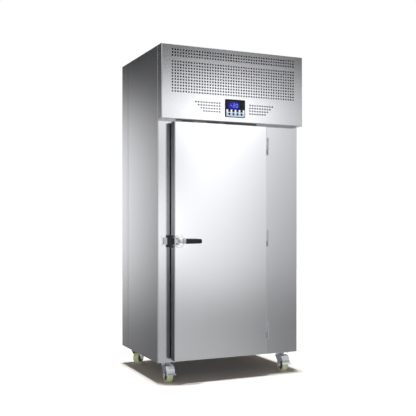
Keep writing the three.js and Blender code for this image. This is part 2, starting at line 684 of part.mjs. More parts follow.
// From the compressor's side port up and over to the condenser's inlet.
function dischargePipe() {
  const from = compressorPort;
  const to = { x: coilX[1] + 20 + SEAT, y: coilY[0] + COIL.depth / 2, z: coilZ[1] - 40 };
  const midX = (from.x + to.x) / 2;
  const bend = 26;
  const route = [
    [from.x - SEAT, from.y, from.z],
    [from.x - bend, from.y, from.z],
    [midX, from.y - bend, (from.z + to.z) / 2],
    [midX, (from.y + to.y) / 2, to.z],
    [midX, to.y + bend, to.z],
    [to.x + bend, to.y, to.z],
    [to.x, to.y, to.z],
  ].map((point) => new THREE.Vector3(...point));
  const circle = [];
  for (let k = 0; k < 8; k += 1) {
    const angle = (k * Math.PI) / 4;
    circle.push(new THREE.Vector2(PIPE_RADIUS * Math.cos(angle), PIPE_RADIUS * Math.sin(angle)));
  }
  const curve = new THREE.CatmullRomCurve3(route, false, 'centripetal');
  const tube = new THREE.ExtrudeGeometry(new THREE.Shape(circle), { steps: 18, extrudePath: curve });
  add('discharge_pipe', solid(tube), 'copper');
}

function electrics() {
  const { width, depth, height, right, back } = ELECTRICAL_BOX;
  const x1 = RIGHT - right;
  const box = softBlock([x1 - width, x1], [back, back + depth], [DECK + SEAT, DECK + SEAT + height], BEND);
  add('electrical_box', box, 'galvanised');

  const { thread, flange, reach, lift } = GLAND;
  const outer = SHEET + SEAT;
  const profile = [[0, -outer - 8], [flange * 0.85, -outer - 8], [flange * 0.85, -outer],
    [thread, -outer], [thread, SEAT], [flange, SEAT], [flange, SEAT + 6],
    [flange * 0.75, SEAT + 7], [flange * 0.6, reach], [0, reach]];
  const gland = turned(profile, 'y', [RIGHT - GLAND.right, BODY_DEPTH, DECK + lift], 12);
  add('power_inlet', gland, 'black');
}

// ---------------------------------------------------------------- evaporator side of the chamber

const coverY = [chamber.y0 + COVER_AIR_GAP, chamber.y1 - COVER_AIR_GAP];
const fanY = (coverY[0] + coverY[1]) / 2;
const fanZ = (share) => THREE.MathUtils.lerp(chamber.z0, chamber.z1, share);
const fanX = COVER_X + SHEET + FAN_DEPTH / 2 + 4;

function evaporatorCover() {
  const path = [[COVER_X + COVER_FLANGE, coverY[1]], [COVER_X, coverY[1]], [COVER_X, coverY[0]],
    [COVER_X + COVER_FLANGE, coverY[0]]];
  const sheet = prism(folded(path), 'z', chamber.z0 + SEAT, chamber.z1 - SEAT);
  const mouths = Object.values(FAN_SHARES).map((share) =>
    rod('x', [0, fanY, fanZ(share)], FAN_RADIUS + FAN_TIP_GAP, COVER_X - 1, COVER_X + SHEET + 1, 24));
  add('evaporator_cover', cut(sheet, mouths), 'inner');
}

// The motor hangs on a strap behind the fan, which stands on two feet on the cover.
function evaporatorFan(where) {
  const z = fanZ(FAN_SHARES[where]);
  const strapX = fanX + FAN_DEPTH / 2 + 6;
  const reach = FAN_RADIUS + FAN_TIP_GAP + 4;
  const strapSection = folded([
    [COVER_X + SHEET + SEAT, z + reach + 14], [COVER_X + SHEET + SEAT, z + reach],
    [strapX, z + reach], [strapX, z - reach], [COVER_X + SHEET + SEAT, z - reach],
    [COVER_X + SHEET + SEAT, z - reach - 14]], LEAF_THICKNESS, LEAF_THICKNESS + 1);
  const strap = prism(strapSection, 'y', fanY - 16, fanY + 16);
  const motor = turned([[0, 0], [MOTOR_RADIUS, 0], [MOTOR_RADIUS, MOTOR_LENGTH - 8],
    [MOTOR_RADIUS - 8, MOTOR_LENGTH], [0, MOTOR_LENGTH]], 'x', [strapX - 1, fanY, z], 16);
  const shaft = rod('x', [0, fanY, z], SHAFT_RADIUS, fanX - FAN_DEPTH / 2, strapX, 8);
  add(`evaporator_fan_motor_${where}`, join(strap, motor, shaft), 'galvanised');
  const spinner = fan(FAN_RADIUS, FAN_DEPTH).rotate([0, 90, 0]);
  add(`evaporator_fan_${where}`, spinner.translate([fanX, fanY, z]), 'black');
}

function evaporatorCoil() {
  const x = [chamber.x1 - SEAT - EVAPORATOR.depth, chamber.x1 - SEAT];
  const y = [fanY - EVAPORATOR.width / 2, fanY + EVAPORATOR.width / 2];
  const z = [chamber.z0 + EVAPORATOR.bottom, chamber.z1 - EVAPORATOR.top];
  const outline = finOutline(...y, ...x, EVAPORATOR.fins).map(([u, v]) => [v, u]);
  const core = prism(outline, 'z', ...z);
  const endZ = [chamber.z0 + SEAT, z[1]];
  const ends = [
    block(x, [y[0], y[0] + 2 * SHEET], endZ),
    block(x, [y[1] - 2 * SHEET, y[1]], endZ),
  ];
  add('evaporator_coil', join(core, ends), 'fins');
}

// Two posts carry the angle runners. The face is where the runners' legs lie, inward is +1 or -1.
function trayRack(name, face, inward, wall) {
  const span = (from, to) => [Math.min(from, to), Math.max(from, to)];
  const out = (distance) => face - inward * distance;
  const runnerY = [chamber.y0 + RUNNER_FRONT, chamber.y1 - RUNNER_REAR];
  const posts = [];
  for (const share of [0.14, 0.86]) {
    const y = THREE.MathUtils.lerp(runnerY[0], runnerY[1], share);
    const post = [y - RACK_POST_DEPTH / 2, y + RACK_POST_DEPTH / 2];
    posts.push(block(span(out(RACK_POST), out(0)), post, [chamber.z0 + SEAT, chamber.z1 - LAP_END]));
    const gap = Math.abs(wall - out(RACK_POST));
    if (gap > 2 * SEAT) {
      posts.push(block(span(out(RACK_POST) + inward, wall + inward * SEAT), post,
        [chamber.z1 - 3 * LAP_END, chamber.z1 - 2 * LAP_END]));
    }
  }
  const runners = [];
  for (let level = 0; level < RUNNER_LEVELS; level += 1) {
    const z = chamber.z0 + RUNNER_FIRST + level * runnerPitch;
    const section = [[-0.5, 0], [RUNNER_LEDGE, 0], [RUNNER_LEDGE, SHEET], [SHEET - 0.5, SHEET],
      [SHEET - 0.5, RUNNER_LEG], [-0.5, RUNNER_LEG]];
    runners.push(prism(section.map(([u, v]) => [face + inward * u, z + v]), 'y', ...runnerY));
  }
  add(name, join(posts, runners), 'inner');
}

// ---------------------------------------------------------------- door

function doorPieces() {
  const skinX = [door.x0, door.x1];
  const skinZ = [door.z0, door.z1];
  add('door_skin', pan(skinX, [door.face, door.back], skinZ), 'brushed');

  const insideX = [door.x0 + SHEET + SEAT, door.x1 - SHEET - SEAT];
  const insideZ = [door.z0 + SHEET + SEAT, door.z1 - SHEET - SEAT];
  const plug = (inset, from, to) => block(
    [opening.x0 + PLUG_CLEARANCE + inset, opening.x1 - PLUG_CLEARANCE - inset], [from, to],
    [opening.z0 + PLUG_CLEARANCE + inset, opening.z1 - PLUG_CLEARANCE - inset]);
  const sheetFront = door.back - SHEET;
  const liner = join(block(insideX, [sheetFront, door.back], insideZ), plug(0, sheetFront, PLUG_DEPTH));
  add('door_liner', cut(liner, plug(SHEET, sheetFront - 1, PLUG_DEPTH - SHEET)), 'inner');

  const slab = softBlock(insideX, [door.face + SHEET + SEAT, sheetFront - SEAT], insideZ, BEND);
  const core = plug(SHEET + SEAT, sheetFront - SEAT - 1, PLUG_DEPTH - SHEET - SEAT);
  add('door_foam', join(slab, core), 'foam');
  gasket();
}

// The gasket has a base, a narrower bellows and a magnet strip that lies on the frame.
function gasket() {
  const ring = (inset, width, from, to) => {
    const x = [door.x0 + GASKET_INSET + inset, door.x1 - GASKET_INSET - inset];
    const z = [door.z0 + GASKET_INSET + inset, door.z1 - GASKET_INSET - inset];
    return cut(block(x, [from, to], z),
      block([x[0] + width, x[1] - width], [from - 1, to + 1], [z[0] + width, z[1] - width]));
  };
  const [base, magnet] = [door.back + SEAT, -SEAT];
  const third = (magnet - base) / 3;
  add('door_gasket', join(
    ring(0, GASKET_WIDTH, base, base + third),
    ring(5, GASKET_WIDTH - 12, base + third - 0.5, magnet - third + 0.5),
    ring(2, GASKET_WIDTH - 5, magnet - third, magnet)), 'gasket');
}

const pin = { x: door.x1 + PIN_OUT, y: door.face + PIN_SETBACK };

function hinge(where) {
  const z = door.z0 + HINGE_SHARES[where] * door.height;
  const upper = [z, z + KNUCKLE_UPPER];
  const lower = [z - KNUCKLE_WASHER - KNUCKLE_LOWER, z - KNUCKLE_WASHER];
  const leafX = [door.x1 + SEAT, door.x1 + SEAT + LEAF_THICKNESS];
  const leafY = pin.y - LEAF_THICKNESS;
  const knuckle = rod('z', [pin.x, pin.y, 0], KNUCKLE_RADIUS, ...upper, 12);
  const bore = rod('z', [pin.x, pin.y, 0], PIN_RADIUS + RUNNING_GAP, upper[0] - 1, upper[1] + 1, 12);
  const arm = block([leafX[0], pin.x - PIN_RADIUS], [leafY, pin.y], upper);
  const leaf = block(leafX, [leafY, leafY + DOOR_LEAF_DEPTH], upper);
  add(`door_hinge_leaf_${where}`, cut(join(knuckle, arm, leaf), bore), 'zinc');

  const lug = rod('z', [pin.x, pin.y, 0], KNUCKLE_RADIUS, ...lower, 12);
  const washer = rod('z', [pin.x, pin.y, 0], KNUCKLE_RADIUS - 1, lower[1] - 1, z - RUNNING_GAP, 12);
  const post = rod('z', [pin.x, pin.y, 0], PIN_RADIUS, lower[1], upper[1] - LEAF_THICKNESS, 12);
  const near = pin.x + KNUCKLE_RADIUS - LEAF_THICKNESS;
  const foot = prism(folded([[near + FRAME_LEAF_WIDTH, -SEAT], [near, -SEAT], [near, pin.y]],
    LEAF_THICKNESS, LEAF_THICKNESS + 1), 'z', ...lower);
  add(`frame_hinge_leaf_${where}`, join(lug, washer, post, foot), 'zinc');
}

// ---------------------------------------------------------------- latch

const latch = {
  x: door.x0 + LATCH_SET,
  y: door.face - LATCH_PIN_OUT,
  z: door.middle,
  seat: door.face - SEAT,
};

function latchBase() {
  const plate = prism(shifted(roundedPlate(LATCH_PLATE.width, LATCH_PLATE.height, LATCH_PLATE.corner),
    latch.x, latch.z), 'y', latch.seat - LATCH_PLATE.depth, latch.seat);
  const half = LATCH_BOSS.width / 2;
  const plan = filleted([[latch.x - half, latch.seat - 1], [latch.x - half, latch.seat - LATCH_BOSS.depth],
    [latch.x + half, latch.seat - LATCH_BOSS.depth], [latch.x + half, latch.seat - 1]], [0, 8, 8, 0]);
  const boss = prism(plan, 'z', latch.z - LATCH_BOSS.height / 2, latch.z + LATCH_BOSS.height / 2);
  const slotZ = [latch.z - LATCH_SLOT / 2, latch.z + LATCH_SLOT / 2];
  const slot = block([door.x0 - 1, door.x0 + 2 * LATCH_SET + 1],
    [latch.seat - LATCH_BOSS.depth - 1, latch.seat - LATCH_PLATE.depth - SEAT], slotZ);
  const pivot = rod('z', [latch.x, latch.y, 0], LATCH_PIN_RADIUS, slotZ[0] - 1, slotZ[1] + 1, 12);
  add('latch_base', join(cut(join(plate, boss), slot), pivot), 'chrome');
}

// Sections across the lever at a distance from its pin: half depth, half height, and how far out.
function leverRing(x, halfDepth, halfHeight, out) {
  const corners = [[-1, -0.6], [-0.6, -1], [0.6, -1], [1, -0.6], [1, 0.6], [0.6, 1], [-0.6, 1], [-1, 0.6]];
  return corners.map(([u, v]) => [latch.x + x, latch.y - out + u * halfDepth, latch.z + v * halfHeight]);
}

function leverAndGrip() {
  const hubHeight = LATCH_SLOT - 2 * SEAT;
  const hub = rod('z', [latch.x, latch.y, 0], LEVER_HUB_RADIUS,
    latch.z - hubHeight / 2, latch.z + hubHeight / 2, 16);
  const bore = rod('z', [latch.x, latch.y, 0], LATCH_PIN_RADIUS + RUNNING_GAP,
    latch.z - hubHeight, latch.z + hubHeight, 12);
  const tang = { depth: 3, height: 8, length: GRIP_LENGTH * 0.7 };
  const offset = 6;
  const neck = loft([
    leverRing(6, 5, hubHeight / 2 - 1, 1),
    leverRing(LEVER_NECK * 0.6, 6, hubHeight / 2, offset / 2),
    leverRing(LEVER_NECK * 0.8, GRIP_DEPTH / 2 - 2, GRIP_HEIGHT / 2 - 2, offset),
    leverRing(LEVER_NECK - SEAT, GRIP_DEPTH / 2 - 1, GRIP_HEIGHT / 2 - 1, offset)]);
  const core = loft([
    leverRing(LEVER_NECK - 2, tang.depth, tang.height, offset),
    leverRing(LEVER_NECK + tang.length, tang.depth, tang.height, offset)]);
  add('latch_lever', cut(join(hub, neck, core), bore), 'chrome');

  const pocket = loft([
    leverRing(LEVER_NECK - 2, tang.depth + SEAT, tang.height + SEAT, offset),
    leverRing(LEVER_NECK + tang.length + SEAT, tang.depth + SEAT, tang.height + SEAT, offset)]);
  const end = LEVER_NECK + GRIP_LENGTH;
  const sleeve = loft([
    leverRing(LEVER_NECK, GRIP_DEPTH / 2, GRIP_HEIGHT / 2, offset),
    leverRing(LEVER_NECK + GRIP_LENGTH * 0.5, GRIP_DEPTH / 2 + 1, GRIP_HEIGHT / 2 - 0.5, offset + 1),
    leverRing(end - 5, GRIP_DEPTH / 2, GRIP_HEIGHT / 2 - 1.5, offset),
    leverRing(end, GRIP_DEPTH / 2 - 4, GRIP_HEIGHT / 2 - 5, offset)]);
  add('latch_grip', cut(sleeve, pocket), 'black');
}

// The bolt lies in the slot under the lever's hub. Its nose stands just clear of the keeper's lip.
function boltAndKeeper() {
  const boltY = [latch.seat - LATCH_PLATE.depth - 2 * SEAT - BOLT_DEPTH, latch.seat - LATCH_PLATE.depth - 2 * SEAT];
  const nose = door.x0 - BOLT_PROUD;
  const half = LATCH_SLOT / 2 - SEAT;
  const plan = [[nose, boltY[0] + 3], [nose + 3, boltY[0]], [nose + BOLT_LENGTH, boltY[0]],
    [nose + BOLT_LENGTH, boltY[1]], [nose, boltY[1]]];
  add('latch_bolt', prism(plan, 'z', latch.z - half, latch.z + half), 'zinc');

  const near = door.x0 - KEEPER_GAP;
  const back = near - 25;
  const lipEnd = nose - 2 * SEAT;
  const mouth = [boltY[1] + 1, boltY[0] - 1];
  const lip = mouth[1] - 9;
  const hook = [[back, -SEAT], [near, -SEAT], [near, door.face + 6], [lipEnd, mouth[0]],
    [near - 18, mouth[0]], [near - 18, mouth[1]], [lipEnd, mouth[1]], [lipEnd, lip + 4],
    [lipEnd - 5, lip], [back + 5, lip], [back, lip + 6]];
  const claw = prism(hook, 'z', latch.z - KEEPER_HEIGHT / 2, latch.z + KEEPER_HEIGHT / 2);
  const footPlan = [[back - 18, -SEAT], [back + 1, -SEAT], [back + 1, -26], [back - 14, -9], [back - 18, -7]];
  const foot = prism(footPlan, 'z', latch.z - KEEPER_FOOT_HEIGHT / 2, latch.z + KEEPER_FOOT_HEIGHT / 2);
  add('strike', join(claw, foot), 'keeper');
}

// ---------------------------------------------------------------- casters

const wheelRadius = WHEEL_DIAMETER / 2;
const plateTop = CASTER_HEIGHT - SEAT;
const plateBottom = plateTop - CASTER_PLATE.thickness;
const crownTop = plateBottom - CUP_HEIGHT - SEAT;
const crownBottom = crownTop - CROWN_HEIGHT - FORK_WALL;
const forkInner = WHEEL_WIDTH / 2 + FORK_CLEARANCE;
const forkOuter = forkInner + FORK_WALL;
const pedalPivot = { y: -TRAIL - 12, z: 88 };

// Pieces stand round the swivel axis at x = y = 0, with the wheel trailing towards -Y.
function casterPlate() {
  const outline = roundedPlate(CASTER_PLATE.width, CASTER_PLATE.depth, CASTER_PLATE.corner);
  const plate = prism(outline, 'z', plateBottom, plateTop);
  const headTop = crownBottom - SEAT;
  const cup = turned([[0, headTop - 5], [9, headTop - 5], [9, headTop], [KING_PIN_RADIUS, headTop],
    [KING_PIN_RADIUS, crownTop + SEAT], [CUP_RADIUS - 2, crownTop + SEAT],
    [CUP_RADIUS, plateBottom + 1], [0, plateBottom + 1]], 'z', [0, 0, 0], 12);
  return join(plate, cup);
}

function casterFork(braked) {
  const crown = turned([[0, crownBottom + 1], [CUP_RADIUS - 1, crownBottom + 1],
    [CUP_RADIUS - 4, crownTop], [0, crownTop]], 'z', [0, 0, 0], 12);
  const yoke = block([-forkOuter, forkOuter], [-28, 20], [crownBottom, crownBottom + FORK_WALL]);
  const bore = rod('z', [0, 0, 0], KING_PIN_RADIUS + RUNNING_GAP, crownBottom - 1, crownTop + 1, 12);
  const ear = 11;
  const outline = [[20, crownBottom + FORK_WALL], [20, crownBottom - 8], [-TRAIL + ear, wheelRadius + 6],
    [-TRAIL + ear, wheelRadius - 5], [-TRAIL + 5, wheelRadius - ear], [-TRAIL - 5, wheelRadius - ear],
    [-TRAIL - ear, wheelRadius - 5], [-TRAIL - ear - 3, wheelRadius + 24],
    [pedalPivot.y - 7, pedalPivot.z - 5], [pedalPivot.y - 5, pedalPivot.z + 5],
    [pedalPivot.y + 2, pedalPivot.z + 7], [-28, crownBottom + FORK_WALL]];
  const legs = [prism(outline, 'x', forkInner, forkOuter), prism(outline, 'x', -forkOuter, -forkInner)];
  const axleAt = [0, -TRAIL, wheelRadius];
  const axle = [
    rod('x', axleAt, AXLE_RADIUS, -forkInner - 1, forkInner + 1, 12),
    rod('x', axleAt, AXLE_RADIUS + 3, -forkOuter - 5, -forkInner - 1, 6),
    rod('x', axleAt, AXLE_RADIUS + 3, forkInner + 1, forkOuter + 5, 6),
  ];
  const pivotAt = [0, pedalPivot.y, pedalPivot.z];
  const pivotEnd = forkOuter + PEDAL_WALL + 1;
  const pivots = braked
    ? [rod('x', pivotAt, PEDAL_PIVOT_RADIUS, -pivotEnd, -forkInner - 1, 8),
      rod('x', pivotAt, PEDAL_PIVOT_RADIUS, forkInner + 1, pivotEnd, 8)]
    : [];
  return join(cut(join(crown, yoke), bore), legs, axle, pivots);
}

function casterWheel() {
  const half = WHEEL_WIDTH / 2;
  const rim = wheelRadius / Math.cos(Math.PI / WHEEL_SIDES);
  const bore = AXLE_RADIUS + RUNNING_GAP;
  const profile = [[bore, -half - 1], [14, -half - 1], [17, -half + 4], [rim - 9, -half],
    [rim - 2, -half], [rim, -half + 3], [rim, half - 3], [rim - 2, half], [rim - 9, half],
    [17, half - 4], [14, half + 1], [bore, half + 1], [bore, -half - 1]];
  return turned(profile, 'x', [0, -TRAIL, wheelRadius], WHEEL_SIDES, Math.PI / WHEEL_SIDES);
}

// A stamped plate over the wheel, two cheeks on the fork's pivots and a wide lip for the toe.
function brakePedal() {
  const cheek = forkOuter + SEAT;
  const outer = cheek + PEDAL_WALL;
  const { y, z } = pedalPivot;
  const path = [[y + 8, z + 18], [y - 18, z + 11], [y - 33, z - 16], [y - 33.5, z - 29], [y - 46, z - 37]];
  const section = folded(path, LEAF_THICKNESS, LEAF_THICKNESS + 2);
  const plate = prism(section, 'x', -outer, outer);
  const lip = prism(section, 'x', -PEDAL_LIP_WIDTH / 2, PEDAL_LIP_WIDTH / 2)
    .intersect(block([-PEDAL_LIP_WIDTH, PEDAL_LIP_WIDTH], [y - 60, y], [z - 60, z - 30]));
  const side = [[y + 7, z + 16], [y - 17, z + 9.5], [y - 31.5, z - 16], [y - 31.5, z - 26],
    [y - 24, z - 26], [y - 6, z - 8], [y + 7, z - 5]];
  const hole = (from, to) => rod('x', [0, y, z], PEDAL_PIVOT_RADIUS + RUNNING_GAP, from, to, 8);
  const cheeks = [
    cut(prism(side, 'x', cheek, outer), hole(cheek - 1, outer + 1)),
    cut(prism(side, 'x', -outer, -cheek), hole(-outer - 1, -cheek + 1)),
  ];
  return join(plate, lip, cheeks);
}

function caster(name, x, y, heading, braked) {
  const swivel = new THREE.Group();
  swivel.position.set(x, y, 0);
  swivel.rotation.z = THREE.MathUtils.degToRad(heading);
  chiller.add(swivel);
  add(`caster_${name}_plate`, casterPlate().translate([x, y, 0]), 'zinc');
  add(`caster_${name}_fork`, casterFork(braked), 'zinc', swivel);
  add(`caster_${name}_wheel`, casterWheel(), 'tread', swivel);
  if (braked) add(`brake_pedal_${name}`, brakePedal(), 'zinc', swivel);
}

// ---------------------------------------------------------------- assembly

sidePanels();
rearPanel();
floorAndDeck();
lid();
linerAndFoam();
hood();
controller();
condenser();
condenserFanParts();
compressor();
receiver();
dischargePipe();
electrics();
evaporatorCover();
evaporatorFan('upper');
evaporatorFan('lower');
evaporatorCoil();
trayRack('tray_rack_left', opening.x0, 1, chamber.x0);
trayRack('tray_rack_right', opening.x1, -1, COVER_X);
doorPieces();
Object.keys(HINGE_SHARES).forEach(hinge);
latchBase();
leverAndGrip();
boltAndKeeper();
caster('fl', LEFT + CASTER_INSET.left, CASTER_FRONT, 0, true);
caster('fr', RIGHT - CASTER_INSET.right, CASTER_FRONT, 0, true);
caster('rl', LEFT + CASTER_INSET.left, BODY_DEPTH - CASTER_REAR, 130, false);
caster('rr', RIGHT - CASTER_INSET.right, BODY_DEPTH - CASTER_REAR, 230, false);

// The origin is the middle of the object's footprint, on the floor.
const extent = new THREE.Box3().setFromObject(chiller);
chiller.position.y = -(extent.min.y + extent.max.y) / 2;

export default chiller;
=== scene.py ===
"""Upright blast chiller on casters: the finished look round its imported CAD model.

Metres, +Z up, the front towards -Y, the middle of the footprint at the origin.
"""

import json
import math

import bmesh
import bpy
from bpy.props import FloatProperty, FloatVectorProperty, IntProperty, PointerProperty
from mathutils import Matrix, Vector


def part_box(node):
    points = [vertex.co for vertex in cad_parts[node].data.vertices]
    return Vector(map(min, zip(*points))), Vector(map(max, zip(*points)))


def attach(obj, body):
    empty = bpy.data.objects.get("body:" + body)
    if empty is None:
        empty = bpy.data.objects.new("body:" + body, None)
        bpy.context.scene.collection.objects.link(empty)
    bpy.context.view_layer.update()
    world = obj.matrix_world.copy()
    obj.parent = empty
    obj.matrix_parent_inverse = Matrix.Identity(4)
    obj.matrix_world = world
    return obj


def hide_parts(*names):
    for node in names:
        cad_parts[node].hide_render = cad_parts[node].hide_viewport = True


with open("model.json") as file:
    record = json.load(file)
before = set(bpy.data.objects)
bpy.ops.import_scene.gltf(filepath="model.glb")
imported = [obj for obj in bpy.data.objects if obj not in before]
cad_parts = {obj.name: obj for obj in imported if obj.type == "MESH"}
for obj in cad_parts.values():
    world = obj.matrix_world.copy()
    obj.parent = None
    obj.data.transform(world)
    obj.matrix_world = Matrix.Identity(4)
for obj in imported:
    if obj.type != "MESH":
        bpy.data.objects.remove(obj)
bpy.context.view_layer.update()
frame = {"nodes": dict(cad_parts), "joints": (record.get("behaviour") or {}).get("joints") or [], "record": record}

bl_info = {
    "name": "Blast chiller",
    "version": (1, 0, 0),
    "blender": (4, 5, 0),
    "location": "View3D > Sidebar > Blast chiller",
    "description": "Sheet metal, latch, hinges, casters and finishes of an upright blast chiller",
    "category": "Object",
}

CASTERS = ("fl", "fr", "rl", "rr")
KEYS = ("key_1", "key_2", "key_3", "key_4")
HINGES = ("top", "middle", "bottom")


# ---------------------------------------------------------------- node trees


def _operator(operation, reflected=False):
    """A method that adds the node of an operation, with its sides swapped when it is reflected."""
    if reflected:
        return lambda self, other: self._with(operation, other, self)
    return lambda self, other: self._with(operation, self, other)


class Field:
    """A value of a node tree. Arithmetic adds Math nodes, or Vector Math nodes for a vector."""

    def __init__(self, graph, socket):
        self.graph = graph
        self.socket = socket

    def _with(self, operation, first, second):
        kind = "ShaderNodeVectorMath" if self.socket.type == "VECTOR" else "ShaderNodeMath"
        return self.graph.node(kind, {0: first, 1: second}, operation=operation)

    __add__, __radd__ = _operator("ADD"), _operator("ADD", reflected=True)
    __sub__, __rsub__ = _operator("SUBTRACT"), _operator("SUBTRACT", reflected=True)
    __mul__, __rmul__ = _operator("MULTIPLY"), _operator("MULTIPLY", reflected=True)
    __truediv__, __pow__ = _operator("DIVIDE"), _operator("POWER")
    __gt__ = _operator("GREATER_THAN")

    def parts(self):
        """The x, y and z of a vector."""
        split = self.graph.node("ShaderNodeSeparateXYZ", {0: self})
        return [split.beside(axis) for axis in range(3)]

    def beside(self, output):
        """Another output of the node that this value comes from."""
        return Field(self.graph, self.socket.node.outputs[output])


class Graph:
    """A node tree that is being built."""

    def __init__(self, tree):
        self.tree = tree

    def node(self, kind, inputs=None, output=0, **settings):
        """Adds a node with its settings and the values of its sockets, and returns one output."""
        made = self.tree.nodes.new(kind)
        for name, value in settings.items():
            if name == "stops":
                self._stops(made.color_ramp, value)
            else:
                setattr(made, name, value)
        for name, value in (inputs or {}).items():
            socket = made.inputs[name]
            for one in value if isinstance(value, list) else [value]:
                if isinstance(one, Field):
                    self.tree.links.new(one.socket, socket)
                else:
                    socket.default_value = self._fitted(socket, one)
        return Field(self, made.outputs[output])

    @staticmethod
    def _fitted(socket, value):
        if socket.type in ("VECTOR", "RGBA") and isinstance(value, (int, float)):
            value = (value, value, value)
        if socket.type == "RGBA" and len(value) == 3:
            value = (*value, 1.0)
        return value

    @staticmethod
    def _stops(ramp, stops):
        """Fills a colour ramp: all positions first, because moving a stop can change its turn."""
        for position, _ in stops[2:]:
            ramp.elements.new(position)
        for element, (position, _) in zip(ramp.elements, stops):
            element.position = position
        for element, (_, level) in zip(ramp.elements, stops):
            element.color = (level, level, level, 1.0)

    def between(self, value, low, high, start=0.0, end=1.0):
        """A smooth step from start to end, as the value goes from low to high."""
        return self.node(
            "ShaderNodeMapRange",
            {0: value, 1: low, 2: high, 3: start, 4: end},
            interpolation_type="SMOOTHSTEP",
        )

    def blend(self, share, first, second):
        """A colour between two colours."""
        return self.node(
            "ShaderNodeMix", {0: share, 6: first, 7: second}, output=2, data_type="RGBA"
        )

    def joined(self, x, y, z):
        """A vector from its three parts."""
        return self.node("ShaderNodeCombineXYZ", {0: x, 1: y, 2: z})

    def end(self, shader, kind="ShaderNodeOutputMaterial"):
        """Leads the shader to the tree's output."""
        target = self.tree.nodes.new(kind)
        self.tree.links.new(shader.socket, target.inputs["Surface"])


# ---------------------------------------------------------------- finishes


class Surface(Graph):
    """A material whose nodes are all made here."""

    def __init__(self, name):
        self.material = bpy.data.materials.new(name)
        self.material.use_nodes = True
        super().__init__(self.material.node_tree)
        self.tree.nodes.clear()


class Finish(Surface):
    """A material on the Principled shader, whose patterns lie in the object's own space."""

    def __init__(self, name, **fixed):
        super().__init__(name)
        self.shader = self.tree.nodes.new("ShaderNodeBsdfPrincipled")
        self.end(Field(self, self.shader.outputs[0]))
        for name, value in fixed.items():
            socket = self.shader.inputs[name.replace("_", " ").title().replace("Ior", "IOR")]
            socket.default_value = self._fitted(socket, value)
        self.place = self.node("ShaderNodeTexCoord", output="Object")

    def noise(self, density, detail=2.0):
        """Cloudy variation from 0 to 1, with its own density along x, y and z, per metre."""
        return self.node(
            "ShaderNodeTexNoise", {"Vector": self.place * density, "Scale": 1.0, "Detail": detail}
        )

    def vary(self, socket, value):
        self.tree.links.new(value.socket, self.shader.inputs[socket])

    def done(self, colour, rough=None, *bumps):
        """Leads the colour, the roughness and the bumps to the shader, and returns the material."""
        self.vary("Base Color", colour)
        if rough:
            self.vary("Roughness", rough)
        if bumps:
            self.relief(*bumps)
        return self.material

    def relief(self, height, depth, strength):
        """Bumps of that depth in metres, from a height of 0 to 1."""
        bump = self.node(
            "ShaderNodeBump", {"Strength": strength, "Distance": depth, "Height": height}
        )
        self.vary("Normal", bump)


def scaled(colour, factor):
    return tuple(channel * factor for channel in colour)


# Brushed stainless sheets: the property that holds the tone, the share of it, the density of the
# brush lines along x, y and z, and how much duller than the plain roughness.
BRUSHED = {
    "brushed_door": ("door_tone", 1.0, (900.0, 900.0, 7.0), 0.0),
    "brushed_body": ("body_tone", 1.0, (900.0, 900.0, 7.0), 0.02),
    "brushed_hood": ("body_tone", 1.0, (7.0, 900.0, 900.0), 0.0),
    "inner_sheet": ("body_tone", 0.94, (700.0, 700.0, 9.0), 0.1),
}

# Moulded plastics and rubbers: colour, or the property that holds it, roughness, and fineness.
MOULDED = {
    "gasket_rubber": ((0.030, 0.031, 0.034), 0.6, 500.0),
    "black_plastic": ((0.012, 0.012, 0.013), 0.34, 900.0),
    "grip_plastic": ((0.016, 0.016, 0.018), 0.36, 700.0),
    "keeper_plastic": ((0.016, 0.016, 0.018), 0.42, 900.0),
    "hub_plastic": ((0.045, 0.046, 0.044), 0.45, 600.0),
    "dark_key": ("key_colour", 0.35, 900.0),
    "red_key": ("stop_colour", 0.35, 900.0),
}

# Cloudy finishes: density and detail of the clouds, their two colours, roughness as a factor and a
# base, depth and strength of the bumps, and fixed values of the shader.
CLOUDED = {
    "foamed": (  # rigid polyurethane
        (650.0, 3.0), ((0.62, 0.50, 0.27), (0.80, 0.70, 0.44)), (0.15, 0.8), (0.0004, 0.6),
        {"specular_ior_level": 0.2},
    ),
    # this foam's near-black is painted shade, which darkens the hood's holes
    "filter_foam": (  # open cells, black and quite dull
        (700.0, 3.0), ((0.004, 0.004, 0.004), (0.016, 0.016, 0.017)), (0.1, 0.88), (0.0005, 0.6),
        {"specular_ior_level": 0.1},
    ),
    "unlit_lamp": (
        (400.0, 2.0), ((0.030, 0.036, 0.038), (0.055, 0.062, 0.064)), (0.1, 0.25), None,
        {"coat_weight": 0.5, "coat_roughness": 0.1},
    ),
    "copper_tube": (  # with its brown stains
        (40.0, 5.0), ((0.75, 0.36, 0.20), (0.50, 0.22, 0.12)), (0.25, 0.2), None,
        {"metallic": 1.0},
    ),
    "black_enamel": (  # baked, with a slight orange peel
        (220.0, 2.0), ((0.010, 0.010, 0.012), (0.020, 0.020, 0.022)), (0.1, 0.32), (0.00008, 0.4),
        {"coat_weight": 0.6, "coat_roughness": 0.12},
    ),
}  # fmt: skip


def brushed(name):
    """Steel sheet with its fine brush lines and a slow change of tone."""
    look = bpy.context.scene.chiller_steel
    source, share, grain, duller = BRUSHED[name]
    tone, rough = scaled(getattr(look, source), share), look.roughness + duller
    finish = Finish(name, metallic=1.0)
    lines = finish.noise(grain, 3.0)
    clouds = finish.noise((2.1, 2.1, 1.3), 3.0)
    shade = lines * 0.5 + clouds * 0.5
    tint = finish.blend(shade, scaled(tone, 0.965), scaled(tone, 1.035))
    return finish.done(tint, lines * 0.07 + clouds * 0.05 + (rough - 0.06), lines, 0.00004, 0.35)


